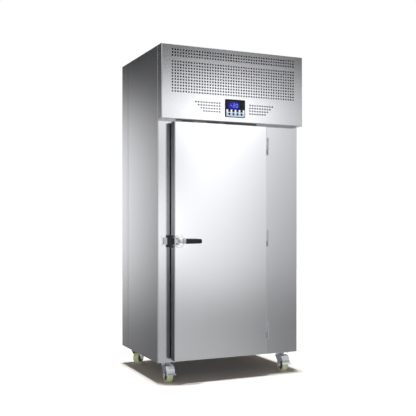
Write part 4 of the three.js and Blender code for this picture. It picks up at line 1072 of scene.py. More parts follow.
class CHILLER_OT_controller(bpy.types.Operator):
    """Finishes the controller: bezel, foil, display with its digits, lamps and keys"""

    bl_idname = "chiller.controller"
    bl_label = "Controller"

    def execute(self, context):
        softened("controller_housing", "black_plastic", 0.0009, 3)
        softened("display_window", "display_glass", 0.0003, 2)
        self.foil()
        self.digits(context.scene.chiller_controller)
        self.lamps()
        for node in KEYS:
            self.key(node)
        return {"FINISHED"}

    def foil(self):
        """The pale foil, with a tab up between the keys and a hole round each."""
        low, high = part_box("controller_housing")
        left, right, foot, top = low.x + 0.0045, high.x - 0.0045, low.z + 0.0035, low.z + 0.046
        outline = [(left, foot), (right, foot), (right, top)]
        for node in reversed(KEYS):
            x, tab, notch = middle(node).x, 0.008, top - 0.015
            outline += [(x + tab, top), (x + tab, notch), (x - tab, notch), (x - tab, top)]
        outline.append((left, top))
        foil = Shape("membrane").prism(outline, "y", low.y - 0.0003, low.y + 0.0002)
        foil = foil.object("controller_foil")
        punches = Shape("membrane")
        for node in KEYS:
            centre = middle(node)
            start = (centre.x, low.y - 0.01, centre.z)
            punches.rod(start, (centre.x, low.y + 0.01, centre.z), 0.0075)
        foil = cut_by(foil, punches.object("punches"))
        riding(eased(foil), "cabinet")

    def digits(self, look):
        """Slanted figures of six-sided bars."""
        low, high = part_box("display_window")
        middle_z = (low.z + high.z) / 2
        tall, stroke = look.digit_height / 2 - look.stroke / 2, look.stroke / 2
        wide = tall * 0.56
        shape = Shape("lit_digit")
        for place, figure in enumerate("-20"):
            x = low.x + 0.019 + place * 0.0195
            for bar in FIGURES[figure]:
                across, up, upright = BARS[bar]
                u, v = x + across * wide, middle_z + up * tall
                half = tall / 2 - 0.0004 if upright else wide - 0.0004
                reach = half + stroke * 0.2
                outline = [(-reach, 0), (-half + stroke, -stroke), (half - stroke, -stroke)]
                outline += [(reach, 0), (half - stroke, stroke), (-half + stroke, stroke)]
                if upright:
                    outline = [(-q, p) for p, q in outline]
                outline = [(u + p + (v + q - middle_z) * 0.08, v + q) for p, q in outline]
                shape.prism(outline, "y", low.y - 0.00015, low.y + 0.0002)
        riding(shape.object("display_digits"), "cabinet")

    def lamps(self):
        low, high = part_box("controller_housing")
        shape = Shape("unlit_lamp")
        bead = [(0, -0.001), (0.0019, -0.001), (0.0019, 0.0002), (0.0014, 0.0005), (0, 0.0006)]
        for row in range(4):
            centre = (high.x - 0.0145, low.y, high.z - 0.0175 - 0.0105 * row)
            shape.turned(bead, centre, (0, -1, 0), 24)
        riding(eased(shape.object("controller_lamps")), "cabinet")

    def key(self, node):
        """A round key with an eased rim and a dished face."""
        low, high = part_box(node)
        radius, long = (high.x - low.x) / 2, high.y - low.y
        centre = ((low.x + high.x) / 2, high.y, (low.z + high.z) / 2)
        edge = 0.0008
        rim = [
            (radius - edge + edge * math.cos(t), long - edge + edge * math.sin(t))
            for t in (0, 0.4, 0.8, 1.2, math.pi / 2)
        ]
        dish = [(radius * share, long - 0.0006 * (1 - share**2)) for share in (0.75, 0.5, 0.25)]
        profile = [(0, 0), (radius, 0), *rim, *dish, (0, long - 0.0006)]
        shape = Shape("red_key" if node == KEYS[-1] else "dark_key")
        dressed(eased(shape.turned(profile, centre, (0, -1, 0), 48).object(f"{node}_cap")), node)


# ---------------------------------------------------------------- door


class CHILLER_OT_door(bpy.types.Operator):
    """Folds the door's skin and liner and lays its bellows gasket"""

    bl_idname = "chiller.door"
    bl_label = "Door"

    def execute(self, context):
        skin = folded_shell("door_skin_folded", "door_skin", "brushed_door")
        dressed(eased(skin), "door_skin")
        softened("door_liner", "inner_sheet", 0.0012, 3)
        low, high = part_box("door_gasket")
        deep = high.y - low.y
        outer = [(0.0, 0.0), (0.0, 0.22), (0.0012, 0.27), (0.0055, 0.31), (0.0062, 0.37)]
        outer += [(0.0030, 0.47), (0.0030, 0.53), (0.0062, 0.63), (0.0055, 0.69), (0.0024, 0.73)]
        outer += [(0.0020, 0.78), (0.0020, 0.97), (0.0026, 1.0)]
        inner = [(0.026 - inset, along) for inset, along in reversed(outer)]
        rings = []
        for inset, along in outer + inner:
            start, end = (low.x + inset, low.z + inset), (high.x - inset, high.z - inset)
            y = low.y + deep * along
            rings.append([(x, y, z) for x, z in rounded_outline(start, end, 0.004, 4)])
        gasket = Shape("gasket_rubber").rings(rings, closed=True).object("door_gasket_bellows")
        dressed(eased(gasket, angle=40), "door_gasket")
        return {"FINISHED"}


BARREL = 0.0065  # the outer radius of a hinge's barrel
LEAF = 0.003  # the thickness of its leaves
DOOR_SCREWS = (0.011, 0.032, 0.053)  # heights of the screws from the foot of the door's leaf
FRAME_SCREWS = (0.009, 0.025)  # and of the frame's


class CHILLER_OT_hinges(bpy.types.Operator):
    """Makes the three lift-off hinges, with their screws"""

    bl_idname = "chiller.hinges"
    bl_label = "Hinges"

    def execute(self, context):
        look = context.scene.chiller_hinges
        pin = Vector(joint_of("door_swing")["pos_m"])
        door_seats, frame_seats = [], []
        for where in HINGES:
            low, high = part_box(f"door_hinge_leaf_{where}")
            self.door_half(where, look, pin, low, high)
            self.frame_half(where, look, pin, low.z, high.z)
            for lift in DOOR_SCREWS:
                door_seats.append(((low.x + LEAF, high.y - 0.012, low.z + lift), (1, 0, 0)))
            foot_low, foot_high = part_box(f"frame_hinge_leaf_{where}")
            for lift in FRAME_SCREWS:
                seat = (foot_high.x - 0.010, foot_high.y - LEAF, foot_low.z + lift)
                frame_seats.append((seat, (0, -1, 0)))
        screws("hinge_screws_door", door_seats, "door")
        screws("hinge_screws_frame", frame_seats, "cabinet")
        return {"FINISHED"}

    def door_half(self, where, look, pin, low, high):
        """The door's leaf with the barrel that lifts off, its bore closed at the top."""
        tall, edge, radius, bore = high.z - low.z, look.chamfer, BARREL, 0.0045
        profile = [(0, tall - 0.0025), (bore, tall - 0.0025), (bore, 0), (radius - edge, 0)]
        profile += [(radius, edge), (radius, tall - edge), (radius - edge, tall), (0, tall)]
        leaf_y = pin.y - LEAF
        outline = rounded_outline((leaf_y, low.z), (high.y, high.z), look.corner)
        shape = Shape("bright_zinc").turned(profile, (pin.x, pin.y, low.z), (0, 0, 1))
        shape.prism(outline, "x", low.x, low.x + LEAF)
        shape.block((low.x + 0.001, leaf_y, low.z + 0.001), (pin.x - 0.0046, pin.y, high.z - 0.001))
        piece = shape.object(f"door_hinge_{where}")
        dressed(eased(piece, 0.0005, 2), f"door_hinge_leaf_{where}")

    def frame_half(self, where, look, pin, seat, top):
        """The frame's leaf with the pin that the barrel turns on."""
        low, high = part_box(f"frame_hinge_leaf_{where}")
        foot = low.z - seat
        edge, radius, lug = look.chamfer, BARREL, -0.006
        profile = [(0, foot), (radius - edge, foot), (radius, foot + edge), (radius, lug - edge)]
        profile += [(radius - edge, lug), (0.0055, lug), (0.0055, -0.0005), (0.004, -0.0005)]
        profile += [(0.004, top - seat - 0.0037), (0.0033, top - seat - 0.003)]
        profile += [(0, top - seat - 0.003)]
        near = pin.x + radius - LEAF
        section = [(high.x, high.y - LEAF), (high.x, high.y)]
        section += arc((near + 0.004, high.y - 0.004), 0.004, 90, 180, 6)
        section += [(near, pin.y), (near + LEAF, pin.y), (near + LEAF, high.y - LEAF)]
        shape = Shape("bright_zinc").turned(profile, (pin.x, pin.y, seat), (0, 0, 1))
        shape.prism(section, "z", low.z, seat + lug)
        piece = shape.object(f"frame_hinge_{where}")
        dressed(eased(piece, 0.0005, 2), f"frame_hinge_leaf_{where}")


# ---------------------------------------------------------------- latch


BASE = 0.005  # the thickness of the latch's base plate
LATCH_SCREWS = (0.0135, 0.0285)  # from the pin to the base's screws, across and up
JAW = (0.0106, 0.022)  # the jaws' inner and outer faces, from the pin's middle


class CHILLER_OT_latch(bpy.types.Operator):
    """Makes the latch: base with its jaws, lever, grip and bolt"""

    bl_idname = "chiller.latch"
    bl_label = "Latch"

    def execute(self, context):
        look = context.scene.chiller_latch
        pin = Vector(joint_of("latch_lever_turn")["pos_m"])
        self.base(look, pin)
        self.lever(pin)
        self.grip(pin)
        softened("latch_bolt", "bright_zinc", 0.0005, 2)
        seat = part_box("latch_base")[1].y - BASE
        across, up = LATCH_SCREWS
        seats = [
            ((pin.x + x, seat, pin.z + z), (0, -1, 0)) for x in (-across, across) for z in (-up, up)
        ]
        screws("latch_screws", seats, "door", head=0.0034, finish="chrome")
        return {"FINISHED"}

    def base(self, look, pin):
        """The base plate, and the two jaws that hold the lever's pin."""
        low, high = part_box("latch_base")
        plate = Shape("chrome")
        outline = rounded_outline((low.x, low.z), (high.x, high.z), 0.014, 12)
        plate.prism(outline, "y", high.y - BASE, high.y)
        plate = eased(plate.object("latch_plate"), look.plate_edge, 4)
        jaws = Shape("chrome")
        front, side, corner = low.y, 0.018, 0.008
        plan = [(pin.x + side, high.y - 0.004), (pin.x - side, high.y - 0.004)]
        plan += arc((pin.x - side + corner, front + corner), corner, 180, 270, 10)
        plan += arc((pin.x + side - corner, front + corner), corner, 270, 360, 10)
        for near, far in (JAW, (-JAW[1], -JAW[0])):
            jaws.prism(plan, "z", pin.z + near, pin.z + far)
        jaws.rod((pin.x, pin.y, pin.z - 0.0112), (pin.x, pin.y, pin.z + 0.0112), 0.004)
        for way in (-1, 1):
            head = [(0, 0.0215), (0.0052, 0.0215), (0.0052, 0.0222), (0.0040, 0.0229), (0, 0.0231)]
            jaws.turned(head, tuple(pin), (0, 0, way), 32)
        jaws = eased(jaws.object("latch_jaws"), look.jaw_edge, 4)
        dressed(plate, "latch_base")
        riding(jaws, "door")

    def lever(self, pin):
        """The cast hub and its neck out to the grip."""
        bore, radius, half, edge = 0.0045, 0.009, 0.0103, 0.0008
        hub = [(bore, -half), (radius - edge, -half), (radius, edge - half)]
        hub += [(radius, half - edge), (radius - edge, half), (bore, half)]
        sections = [
            (6, 5, 9.3, 1), (10, 5.3, 9.6, 1.4), (14, 5.6, 10, 2), (17.4, 6, 10.3, 3),
            (20, 6.4, 11.4, 4.3), (22, 6.8, 12.5, 5.3), (24, 7.3, 13.2, 5.9),
            (26, 7.8, 13.7, 6), (27.8, 8, 14, 6), (28.5, 7.5, 13.4, 6),
        ]  # fmt: skip
        shape = Shape("chrome").turned(hub, tuple(pin), (0, 0, 1), 64)
        shape.rings(self.sections(pin, sections))
        dressed(eased(shape.object("latch_lever_cast"), 0.0004, 2, 50), "latch_lever")

    def grip(self, pin):
        sections = [
            (29, 7.8, 13.6, 6), (29.5, 8.6, 14.6, 6), (30.6, 9, 15, 6), (43, 9.4, 14.9, 6.3),
            (60, 9.8, 14.6, 6.8), (80, 10, 14.5, 7), (100, 9.8, 14.2, 6.8), (117, 9.2, 13.7, 6.3),
            (124, 8.9, 13.3, 6), (128, 8, 12.4, 6), (130.2, 6.4, 10.9, 6), (131, 4.6, 9.2, 6),
        ]  # fmt: skip
        shape = Shape("grip_plastic").rings(self.sections(pin, sections))
        dressed(eased(shape.object("latch_grip_moulded"), angle=50), "latch_grip")

    def sections(self, pin, rows):
        """Rounded sections along the lever, from rows of millimetres: along, deep, tall and out."""
        rings = []
        for row in rows:
            x, deep, tall, out = (value / 1000 for value in row)
            rings.append(superellipse((pin.x + x, pin.y - out, pin.z), deep, tall))
        return rings


class CHILLER_OT_keeper(bpy.types.Operator):
    """Makes the keeper on the left jamb: its hooked claw and its ribbed foot"""

    bl_idname = "chiller.keeper"
    bl_label = "Keeper"

    def execute(self, context):
        look = context.scene.chiller_latch
        low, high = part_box("strike")
        bolt_low, bolt_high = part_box("latch_bolt")
        near, back, slant = high.x, high.x - 0.025, -0.3625
        lip = bolt_low.x - 0.0006
        inner, outer = bolt_high.y + 0.001, bolt_low.y - 0.001
        hook = [(back, high.y), (near, high.y), (near, slant), (lip, inner)]
        hook += [(near - 0.018, inner), (near - 0.018, outer), (lip, outer)]
        hook += [(lip, low.y + 0.004), (lip - 0.005, low.y)]
        hook += [(back + 0.005, low.y), (back, low.y + 0.006)]
        claw = Shape("keeper_plastic").prism(hook, "z", low.z, high.z)
        claw = dressed(eased(claw.object("keeper_claw"), 0.0016, 3, 30), "strike")
        claw.visible_glossy = False  # the brushed jamb hardly shows it
        centre = (low.z + high.z) / 2
        foot = Shape("bright_zinc")
        foot.prism(self.plan(low.x, back, high.y, 0.0012), "z", centre - 0.0205, centre + 0.0205)
        riding(eased(foot.object("keeper_foot"), 0.0008, 2), "cabinet")
        rib = Shape("bright_zinc").prism(self.plan(low.x, back, high.y, 0.0), "z", 0, look.rib)
        rib = rib.object("rib")
        ribs = laid("keeper_ribs")
        tree = Repeat("Keeper ribs", {"Rib": rib, "Count": look.ribs, "Spacing": 0.0062})
        reach = (tree["Count"] - 1.0) * tree["Spacing"]
        line = tree.node(
            "GeometryNodeMeshLine",
            {
                "Count": tree["Count"],
                "Start Location": tree.joined(0.0, 0.0, centre - look.rib / 2 - reach * 0.5),
                "Offset": tree.joined(0.0, 0.0, tree["Spacing"]),
            },
            mode="OFFSET",
        )
        tree.grown(tree.copies(line, tree.shape("Rib")), ribs, "bright_zinc")
        bpy.data.objects.remove(rib)
        riding(eased(ribs), "cabinet")
        seats = [((near - 0.0145, low.y, centre + up), (0, -1, 0)) for up in (-0.024, 0.024)]
        screws("keeper_screws", seats, "cabinet", head=0.003)
        return {"FINISHED"}

    def plan(self, left, back, seat, inset):
        """The foot's outline from above. Its front slants to a thin edge at the left."""
        front, corner, edge = -0.3225, -0.3055, -0.3035
        return [
            (left, seat), (back + 0.001, seat), (back + 0.001, front + inset),
            (left + 0.004 + inset, corner + inset), (left + inset, edge + inset),
        ]  # fmt: skip


# ---------------------------------------------------------------- casters


PLATE = (0.1167, 0.1197)  # heights of the top plate's faces
PLATE_HALF = (0.0475, 0.040)  # half its sides
BOLTS = (0.0375, 0.030)  # from the swivel axis to its bolts, across and along
YOKE = (0.0984, 0.1014)  # heights of the fork's top sheet
PRESSED = 0.003  # thickness of the fork's sheet
PIVOT = (-0.044, 0.088)  # the brake pedal's pivot in the leg, along and up


class CHILLER_OT_casters(bpy.types.Operator):
    """Makes the four casters: plates, forks, wheels and the front brake pedals"""

    bl_idname = "chiller.casters"
    bl_label = "Casters"

    def execute(self, context):
        look = context.scene.chiller_casters
        low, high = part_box("caster_fl_wheel")
        hub = (high.x - low.x) / 2
        across, along = BOLTS
        seats = []
        for corner in CASTERS:
            x, y, _ = joint_of(f"caster_{corner}_swivel")["pos_m"]
            axle = joint_of(f"wheel_{corner}_roll")["axis"]
            place = Matrix.Translation((x, y, 0))
            turned = place @ Matrix.Rotation(math.atan2(axle[1], axle[0]), 4, "Z")
            self.plate(corner, look, place)
            self.fork(corner, look, turned, hub + 0.001, corner in ("fl", "fr"))
            self.wheel(corner, look, turned, hub)
            for u in (-across, across):
                seats += [((x + u, y + v, PLATE[0]), (0, 0, -1)) for v in (-along, along)]
        screws("caster_bolts", seats, "cabinet", head=0.0065, height=0.004)
        for corner in ("fl", "fr"):
            softened(f"brake_pedal_{corner}", "bright_zinc", 0.0006, 2)
        return {"FINISHED"}

    def plate(self, corner, look, place):
        """The top plate with the cup and the foot of its king pin."""
        shape = Shape("bright_zinc")
        outline = rounded_outline(scaled(PLATE_HALF, -1), PLATE_HALF, 0.008)
        shape.prism(outline, "z", *PLATE)
        cup = [(0, 0.0931), (0.0082, 0.0931), (0.009, 0.0939), (0.009, 0.0981), (0.006, 0.0981)]
        cup += [(0.006, 0.1077), (0.0246, 0.1077), (0.0256, 0.1083), (0.0268, 0.1102)]
        cup += [(0.027, 0.1130), (0.0272, 0.1155), (0.0284, 0.1168), (0, 0.1170)]
        shape.turned(cup, (0, 0, 0), (0, 0, 1))
        piece = shape.object(f"caster_{corner}_top_plate", place)
        dressed(eased(piece, look.edge, 2), f"caster_{corner}_plate")

    def fork(self, corner, look, place, inner, braked):
        """The crown, the top sheet and the two legs, with the axle and its nuts."""
        outer = inner + PRESSED
        shape = Shape("bright_zinc")
        crown = [(0.0065, 0.0984), (0.0254, 0.0984), (0.026, 0.0991), (0.0258, 0.1006)]
        crown += [(0.0240, 0.1060), (0.0230, 0.1072), (0.0222, 0.1074), (0.0065, 0.1074)]
        shape.turned(crown, (0, 0, 0), (0, 0, 1))
        foot, top = YOKE
        rear, fore, hole = -0.028, 0.020, 0.007  # the top sheet's ends, and half its square hole
        for x0, x1 in ((-outer, -hole), (hole, outer)):
            shape.block((x0, rear, foot), (x1, fore, top))
        for y0, y1 in ((rear, -hole), (hole, fore)):
            shape.block((-hole - 0.0002, y0, foot), (hole + 0.0002, y1, top))
        trail, axle = look.trail, look.wheel
        leg = [(fore, top), (fore, 0.0904), (0.017, 0.0870), (-0.0195, 0.0470)]
        leg += arc((-trail, axle), 0.0112, 22, -158, 12)
        leg += [(-0.0462, 0.064), (-0.051, 0.083), (-0.0508, 0.089), (-0.049, 0.093)]
        leg += [(-0.0462, 0.0948), (-0.042, 0.0952), (rear, top)]
        for x0, x1 in ((-outer, -inner), (inner, outer)):
            shape.prism(leg, "x", x0, x1)
        reach = inner + 0.0005
        shape.rod((-reach, -trail, axle), (reach, -trail, axle), 0.005)
        nut = [(0, 0), (0.0072, 0), (0.0080, 0.0006), (0.0080, 0.0042), (0.0072, 0.0048)]
        washer = [(0, 0), (0.0098, 0), (0.0098, 0.0010), (0, 0.0010)]
        for way in (-1, 1):
            seat = way * (outer - 0.0002)
            shape.turned([*nut, (0, 0.0048)], (seat, -trail, axle), (way, 0, 0), 6)
            shape.turned(washer, (seat, -trail, axle), (way, 0, 0), 40)
            if braked:
                shape.rod((way * reach, *PIVOT), (way * (outer + 0.003), *PIVOT), 0.0035, 32)
        piece = shape.object(f"caster_{corner}_fork_pressed", place)
        dressed(eased(piece, look.edge, 2), f"caster_{corner}_fork")

    def wheel(self, corner, look, place, end):
        """The cast tread on its hub."""
        radius, hub = look.wheel, look.hub
        tread = [(hub - 0.001, end - 0.004), (hub, end - 0.0026), (radius - 0.0085, end - 0.0012)]
        tread += [(radius - 0.0036, end - 0.001), (radius - 0.0018, end - 0.0016)]
        tread += [(radius - 0.0006, end - 0.0032), (radius - 0.0001, end - 0.0065)]
        tread.append((radius, end - 0.012))
        mirrored = [(r, -along) for r, along in reversed(tread)]
        disc = [(0.0055, end), (0.0128, end), (0.0136, end - 0.0006), (0.0142, end - 0.004)]
        disc += [(0.0165, end - 0.0062), (0.0245, end - 0.0054), (hub + 0.0004, end - 0.003)]
        flipped = [(r, -along) for r, along in reversed(disc)]
        shape = Shape("olive_tread")
        centre = (0, -look.trail, look.wheel)
        shape.turned(tread + mirrored, centre, (1, 0, 0), 96)
        shape.use("hub_plastic").turned(disc + flipped, centre, (1, 0, 0), 96)
        piece = shape.object(f"caster_{corner}_roller", place)
        dressed(eased(piece, angle=40), f"caster_{corner}_wheel")


# ---------------------------------------------------------------- rear and fittings


class CHILLER_OT_louvres(bpy.types.Operator):
    """Presses the louvres of the rear sheet and makes the inlet's gland"""

    bl_idname = "chiller.louvres"
    bl_label = "Louvres and inlet"

    def execute(self, context):
        look = context.scene.chiller_louvres
        scoop = self.scoop(look)
        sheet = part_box("rear_panel")[1].y
        piece = laid("rear_louvres")
        names = ("columns", "rows", "pitch", "spread", "lift")
        tree = Repeat("Louvres", {"Louvre": scoop, **inputs_of(look, names)})
        rise = (tree["Rows"] - 1.0) * tree["Pitch"]
        centre = tree.joined(0.0, sheet, tree["Lift"] + rise * 0.5)
        points = tree.grid(tree["Columns"], tree["Rows"], tree["Spread"], tree["Pitch"], centre)
        tree.grown(tree.copies(points, tree.shape("Louvre")), piece, "brushed_body")
        bpy.data.objects.remove(scoop)
        riding(eased(piece, angle=50), "cabinet")
        self.gland()
        self.screws()
        return {"FINISHED"}

    def scoop(self, look):
        """One louvre, arched over its length and closed at its ends."""
        wall, top, drop = 0.0012, 0.0080, 0.0135
        half = look.width / 2
        rings = []
        for x, share in (
            (-half, 0.05), (-half + 0.003, 0.45), (-half + 0.007, 0.8), (-half + 0.013, 1.0),
            (half - 0.013, 1.0), (half - 0.007, 0.8), (half - 0.003, 0.45), (half, 0.05),
        ):  # fmt: skip
            out = wall + (look.reach - wall) * share
            turn = [math.radians(15 * k) for k in range(7)]
            outer = [(out * math.sin(t), top - drop * (1 - math.cos(t))) for t in turn]
            inner = [
                ((out - wall) * math.sin(t), top - wall - (drop - wall) * (1 - math.cos(t)))
                for t in reversed(turn)
            ]
            rings.append([(x, y - 0.0002, z) for y, z in outer + inner])
        return Shape("brushed_body").rings(rings).object("scoop")

    def gland(self):
        """The cable gland: its part inside, its hexagon and its ribbed nut."""
        low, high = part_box("power_inlet")
        x, z = (low.x + high.x) / 2, (low.z + high.z) / 2
        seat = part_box("rear_panel")[1].y
        shape = Shape("black_plastic")
        inside = [(0, low.y - seat), (0.0134, low.y - seat), (0.0136, -0.0018), (0.010, -0.0018)]
        shape.turned([*inside, (0.010, 0.0005), (0, 0.0005)], (x, seat, z), (0, 1, 0), 48)
        base = [(0, 0.0003), (0.0152, 0.0003), (0.016, 0.0011), (0.016, 0.0055), (0.0152, 0.0063)]
        shape.turned([*base, (0, 0.0063)], (x, seat, z), (0, 1, 0), 6)
        long = high.y - seat
        nut = [(0, 0.006), (0.0128, 0.006), (0.0128, 0.0095), (0.0120, 0.0125)]
        nut += [(0.0100, long - 0.001), (0.0092, long), (0.0062, long)]
        nut += [(0.0058, long - 0.0005), (0.0058, long - 0.004), (0, long - 0.004)]
        shape.turned(nut, (x, seat, z), (0, 1, 0), 48)
        ribs = 12
        for k in range(ribs):
            turn = Matrix.Rotation(2 * math.pi * k / ribs, 4, "Y")
            around = Matrix.Translation((x, seat, z)) @ turn
            shape.block((-0.0009, 0.0068, 0.0118), (0.0009, 0.0112, 0.0136), around)
        dressed(eased(shape.object("inlet_gland"), 0.0003, 1), "power_inlet")

    def screws(self):
        low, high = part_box("rear_panel")
        edge = 0.012
        seats = []
        for k in range(7):
            z = 0.185 + 0.295 * k
            seats += [((x, high.y, z), (0, 1, 0)) for x in (low.x + edge, high.x - edge)]
        for k in range(-2, 3):
            x = 0.16 * k
            seats += [((x, high.y, z), (0, 1, 0)) for z in (low.z + edge, high.z - edge)]
        screws("rear_screws", seats, "cabinet")


class CHILLER_OT_guards(bpy.types.Operator):
    """Winds the wire guards in front of the two evaporator fans"""

    bl_idname = "chiller.guards"
    bl_label = "Fan guards"

    def execute(self, context):
        for where in ("upper", "lower"):
            self.guard(where, context.scene.chiller_guards)
        for node in ("evaporator_fan_upper", "evaporator_fan_lower", "condenser_fan"):
            softened(node, "black_plastic", 0.0003, 1, 40)
        for node in ("evaporator_fan_motor_upper", "evaporator_fan_motor_lower"):
            softened(node, "galvanised", 0.0006, 2, 40)
        for node in ("condenser_fan_shroud", "compressor", "liquid_receiver", "discharge_pipe"):
            softened(node, SLOT_FINISH[slot_of(node)], 0.0, 1, 50)
        return {"FINISHED"}

    def guard(self, where, look):
        """Rings and spokes of wire, close in front of one fan."""
        centre = middle(f"evaporator_fan_{where}")
        piece = laid(f"fan_guard_{where}")
        tree = Repeat("Fan guard", inputs_of(look, GuardLook.__annotations__))
        index = tree.node("GeometryNodeInputIndex")
        still = {"Offset": (0, 0, 0)}
        ring_points = tree.node("GeometryNodeMeshLine", {"Count": tree["Rings"], **still})
        circle = tree.node("GeometryNodeCurvePrimitiveCircle", {"Resolution": 72, "Radius": 1.0})
        size = (index + 1.0) * tree["Spacing"]
        rings = tree.copies(ring_points, circle, scale=size)
        spoke_points = tree.node("GeometryNodeMeshLine", {"Count": tree["Spokes"], **still})
        reach = tree["Rings"] * tree["Spacing"]
        spoke = tree.node(
            "GeometryNodeCurvePrimitiveLine",
            {
                "Start": tree.joined(tree["Spacing"], 0.0, tree["Wire"] * 1.9),
                "End": tree.joined(reach, 0.0, tree["Wire"] * 1.9),
            },
        )
        turn = tree.joined(0.0, 0.0, index * (2 * math.pi) / tree["Spokes"])
        spokes = tree.copies(spoke_points, spoke, turn=turn)
        section = tree.node(
            "GeometryNodeCurvePrimitiveCircle", {"Resolution": 10, "Radius": tree["Wire"]}
        )
        wires = tree.node(
            "GeometryNodeCurveToMesh",
            {
                "Curve": tree.realised(tree.join(rings, spokes)),
                "Profile Curve": section,
                "Fill Caps": True,
            },
        )
        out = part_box("evaporator_cover")[0].x - look.wire * 2.9
        wires = tree.move(wires, (out, centre.y, centre.z), (0, math.pi / 2, 0))
        tree.grown(wires, piece, "bright_zinc")
        riding(eased(piece), "cabinet")


# ---------------------------------------------------------------- studio


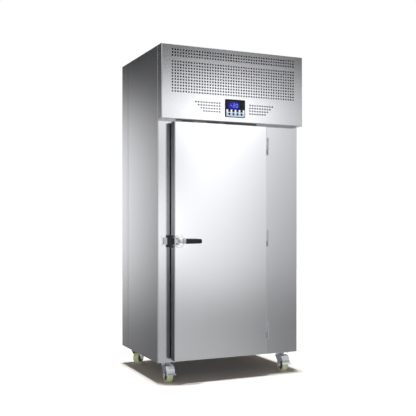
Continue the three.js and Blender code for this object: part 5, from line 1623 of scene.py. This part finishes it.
class CHILLER_OT_studio(bpy.types.Operator):
    """Sets up the pale floor, the soft light and the camera"""

    bl_idname = "chiller.studio"
    bl_label = "Studio"

    def execute(self, context):
        look = context.scene.chiller_studio
        self.camera(context.scene)
        self.world(context.scene, look)
        self.floor(look)
        self.wall()
        self.lamps(look)
        context.scene.view_settings.view_transform = "Standard"
        return {"FINISHED"}

    def camera(self, scene):
        data = bpy.data.cameras.new("Camera")
        data.lens = 63.18
        data.sensor_width = 36.0
        data.shift_y = 0.0277
        data.clip_end = 100.0
        camera = placed("Camera", data)
        camera.location = (-1.9843, -4.3487, 0.9693)
        camera.rotation_euler = (math.radians(90), 0, math.radians(-24.34))
        scene.camera = camera

    def world(self, scene, look):
        scene.world = bpy.data.worlds.new("Studio")
        scene.world.use_nodes = True
        graph = Graph(scene.world.node_tree)
        graph.tree.nodes.clear()
        path = graph.node("ShaderNodeLightPath", output="Is Camera Ray")
        seen = path + path.beside("Is Glossy Ray") + path.beside("Is Transmission Ray")
        shade = scaled((1.0, 0.87, 0.74), look.sky)  # a little warm
        colour = graph.blend(graph.between(seen, 0.0, 1.0), shade, (1.0, 1.0, 1.0))
        sky = graph.node("ShaderNodeBackground", {"Color": colour, "Strength": 1.0})
        graph.end(sky, "ShaderNodeOutputWorld")

    def floor(self, look):
        floor = laid("floor", [(-8, -8, 0), (8, -8, 0), (8, 8, 0), (-8, 8, 0)], [(0, 1, 2, 3)])
        graph = Surface("pale_floor")
        graph.end(graph.node("ShaderNodeBsdfDiffuse", {"Color": tuple(look.floor_colour)}))
        floor.data.materials.append(graph.material)
        floor.visible_glossy = False  # steel shows the studio wall's lower part instead
        return floor

    def wall(self):
        """A round wall far off, closed below, which only reflections see."""
        far, steps = 90.0, 96
        ring = arc((0, 0), far, 0, 360, steps)[:-1]
        points = [(x, y, z) for z in (-far, 0.8 * far) for x, y in ring]
        faces = [tuple(range(steps))]
        faces += [(k, (k + 1) % steps, steps + (k + 1) % steps, steps + k) for k in range(steps)]
        wall = laid("studio_wall", points, faces)
        wall.data.materials.append(self.wall_light())
        wall.visible_camera = False
        wall.visible_diffuse = False
        wall.visible_shadow = False
        return wall

    def wall_light(self):
        """Soft boxes on a dim room, by slope from the camera's height and by heading."""
        graph = Surface("studio_light")
        x, y, z = graph.node("ShaderNodeTexCoord", output="Object").parts()
        across = (x * x + y * y) ** 0.5
        slope = (z - 0.95) / across  # from about the camera's height
        degree = math.pi / 180
        # The heading is 0 towards -Y, and turned is 0 towards +Y. Both grow towards +X.
        heading = graph.node("ShaderNodeMath", {0: x, 1: y * -1.0}, operation="ARCTAN2")
        turned = graph.node("ShaderNodeMath", {0: x, 1: y}, operation="ARCTAN2")
        behind = graph.node("ShaderNodeMath", {0: turned}, operation="ABSOLUTE")
        low, high = -0.6, 0.4  # the slopes that the ramps span
        level = (slope - low) / (high - low)

        def ramp(pairs):
            """Brightness by slope, halved, because a ramp holds nothing above 1."""
            stops = [((slope - low) / (high - low), bright / 2) for slope, bright in pairs]
            return graph.node("ShaderNodeValToRGB", {"Fac": level}, stops=stops)

        def ahead(start, end):
            """A smooth step over headings in degrees."""
            return graph.between(heading, start * degree, end * degree)

        front = ramp([
            (-0.5, 0.02), (-0.25, 0.42), (-0.182, 0.55), (-0.166, 0.38), (-0.149, 0.33),
            (-0.133, 0.34), (-0.116, 0.53), (-0.1, 0.76), (-0.084, 0.86), (-0.04, 1.0), (0.0, 1.07),
            (0.03, 1.17), (0.06, 1.29), (0.12, 1.4), (0.145, 1.5), (0.16, 1.22), (0.2, 0.57),
            (0.212, 0.38), (0.225, 0.18), (0.24, 0.02), (0.3, 0.02),
        ])  # fmt: skip
        end = ramp([
            (-0.5, 0.02), (-0.25, 0.42), (-0.2, 0.56), (-0.16, 0.42), (-0.13, 0.4), (-0.1, 0.66),
            (-0.068, 1.04), (-0.03, 1.45), (0.0, 1.5), (0.02, 1.3), (0.047, 0.8), (0.1, 0.42),
            (0.125, 0.35), (0.14, 1.4), (0.16, 1.18), (0.2, 0.55), (0.225, 0.16), (0.24, 0.02),
        ])  # fmt: skip
        room = ramp([
            (-0.5, 0.01), (-0.2, 0.05), (-0.1, 0.02), (-0.05, 0.1), (0.005, 0.7), (0.045, 0.25),
            (0.11, 0.02), (0.25, 0.02),
        ])  # fmt: skip
        back = ramp([
            (-0.5, 0.02), (-0.25, 0.2), (-0.185, 0.25), (-0.16, 0.31), (-0.14, 0.42), (-0.12, 0.6),
            (-0.1, 0.77), (-0.08, 0.93), (-0.06, 1.08), (-0.037, 1.2), (0.0, 1.28), (0.04, 1.3),
            (0.08, 1.22), (0.115, 1.04), (0.14, 0.83), (0.165, 0.54), (0.19, 0.23), (0.215, 0.08),
            (0.24, 0.0),
        ])  # fmt: skip
        around = ramp([
            (-0.6, 0.02), (-0.5, 0.1), (-0.38, 0.36), (-0.2, 0.56), (0.0, 0.7), (0.1, 0.74),
            (0.2, 0.6), (0.3, 0.34), (0.4, 0.2),
        ])  # fmt: skip
        lit = graph.blend(ahead(22.6, 21) * ahead(8, 14), front, end)
        lit = graph.blend(ahead(-13, 3) + ahead(-30, -50), room, lit)
        lit = graph.blend(ahead(45, 60) + ahead(-34, -46), lit, around)
        dim = graph.between(turned, -50 * degree, -28 * degree)
        dim = dim * graph.between(turned, 18 * degree, 0.0)
        lit = graph.blend(dim, lit, (0.045, 0.045, 0.045))
        lit = graph.blend(graph.between(behind, 23.6 * degree, 15.4 * degree), lit, back)
        crown = ahead(20.3, 23.7) * ahead(31.6, 28.2) * graph.between(slope, 0.12, 0.15)
        foot = graph.between(slope, -0.06, -0.1) * graph.between(slope, -0.19, -0.13)
        foot = ahead(24, 31) * foot
        low_down = graph.between(slope, -0.22, -0.5)
        path = graph.node("ShaderNodeLightPath", output="Diffuse Depth")
        scattered = graph.between(path, 0.0, 1.0)
        lit = graph.blend(low_down, lit, (0.28, 0.28, 0.28))
        lit = graph.blend(graph.between(slope, 0.28, 0.5), lit, (0.34, 0.34, 0.34))
        edge = ahead(24, 33) * ahead(55, 40) * (1.0 - low_down)
        strength = (1.0 - edge * 0.6) * (crown * 1.9 - foot * 0.45 + 2.0)
        strength = strength * (1.0 - scattered * (low_down * 0.4 + 0.55))
        light = graph.node("ShaderNodeEmission", {"Color": lit, "Strength": strength})
        graph.end(light)
        graph.material.cycles.emission_sampling = "NONE"
        return graph.material

    def lamps(self, look):
        """A sun from above, a weaker level one from the camera's side, and a soft front lamp."""
        level = (math.radians(89), 0, math.radians(-24))
        soft = Vector((2.4, 3.4, -0.3)).to_track_quat("-Z", "Y").to_euler()
        for name, kind, energy, extent, size, place, turn in (
            ("overhead", "SUN", look.sun, "angle", math.radians(3), (0, 0, 4), (0, 0, 0)),
            ("level", "SUN", 0.55 * look.sun, "angle", math.radians(4), (-1.6, -3.6, 0.9), level),
            ("front_soft", "AREA", look.front, "size", 1.6, (-2.4, -3.4, 1.2), soft),
        ):
            light = bpy.data.lights.new(name, kind)
            light.energy = energy
            setattr(light, extent, size)
            lamp = placed(name, light)
            lamp.location, lamp.rotation_euler = place, turn
            lamp.visible_glossy = False


# ---------------------------------------------------------------- add-on

STEPS = (
    CHILLER_OT_studio,
    CHILLER_OT_finishes,
    CHILLER_OT_sheets,
    CHILLER_OT_hood,
    CHILLER_OT_controller,
    CHILLER_OT_door,
    CHILLER_OT_hinges,
    CHILLER_OT_latch,
    CHILLER_OT_keeper,
    CHILLER_OT_casters,
    CHILLER_OT_louvres,
    CHILLER_OT_guards,
)


class CHILLER_PT_panel(bpy.types.Panel):
    bl_label = "Blast chiller"
    bl_idname = "CHILLER_PT_panel"
    bl_space_type = "VIEW_3D"
    bl_region_type = "UI"
    bl_category = "Blast chiller"

    def draw(self, context):
        for step in STEPS:
            self.layout.operator(step.bl_idname)


CLASSES = (*LOOKS.values(), *STEPS, CHILLER_PT_panel)


def register():
    for cls in CLASSES:
        bpy.utils.register_class(cls)
    for name, look in LOOKS.items():
        setattr(bpy.types.Scene, name, PointerProperty(type=look))


def unregister():
    for name in LOOKS:
        delattr(bpy.types.Scene, name)
    for cls in reversed(CLASSES):
        bpy.utils.unregister_class(cls)


def main():
    register()
    for step in STEPS:
        getattr(bpy.ops.chiller, step.bl_idname.split(".")[1])()


if __name__ == "__main__":
    main()
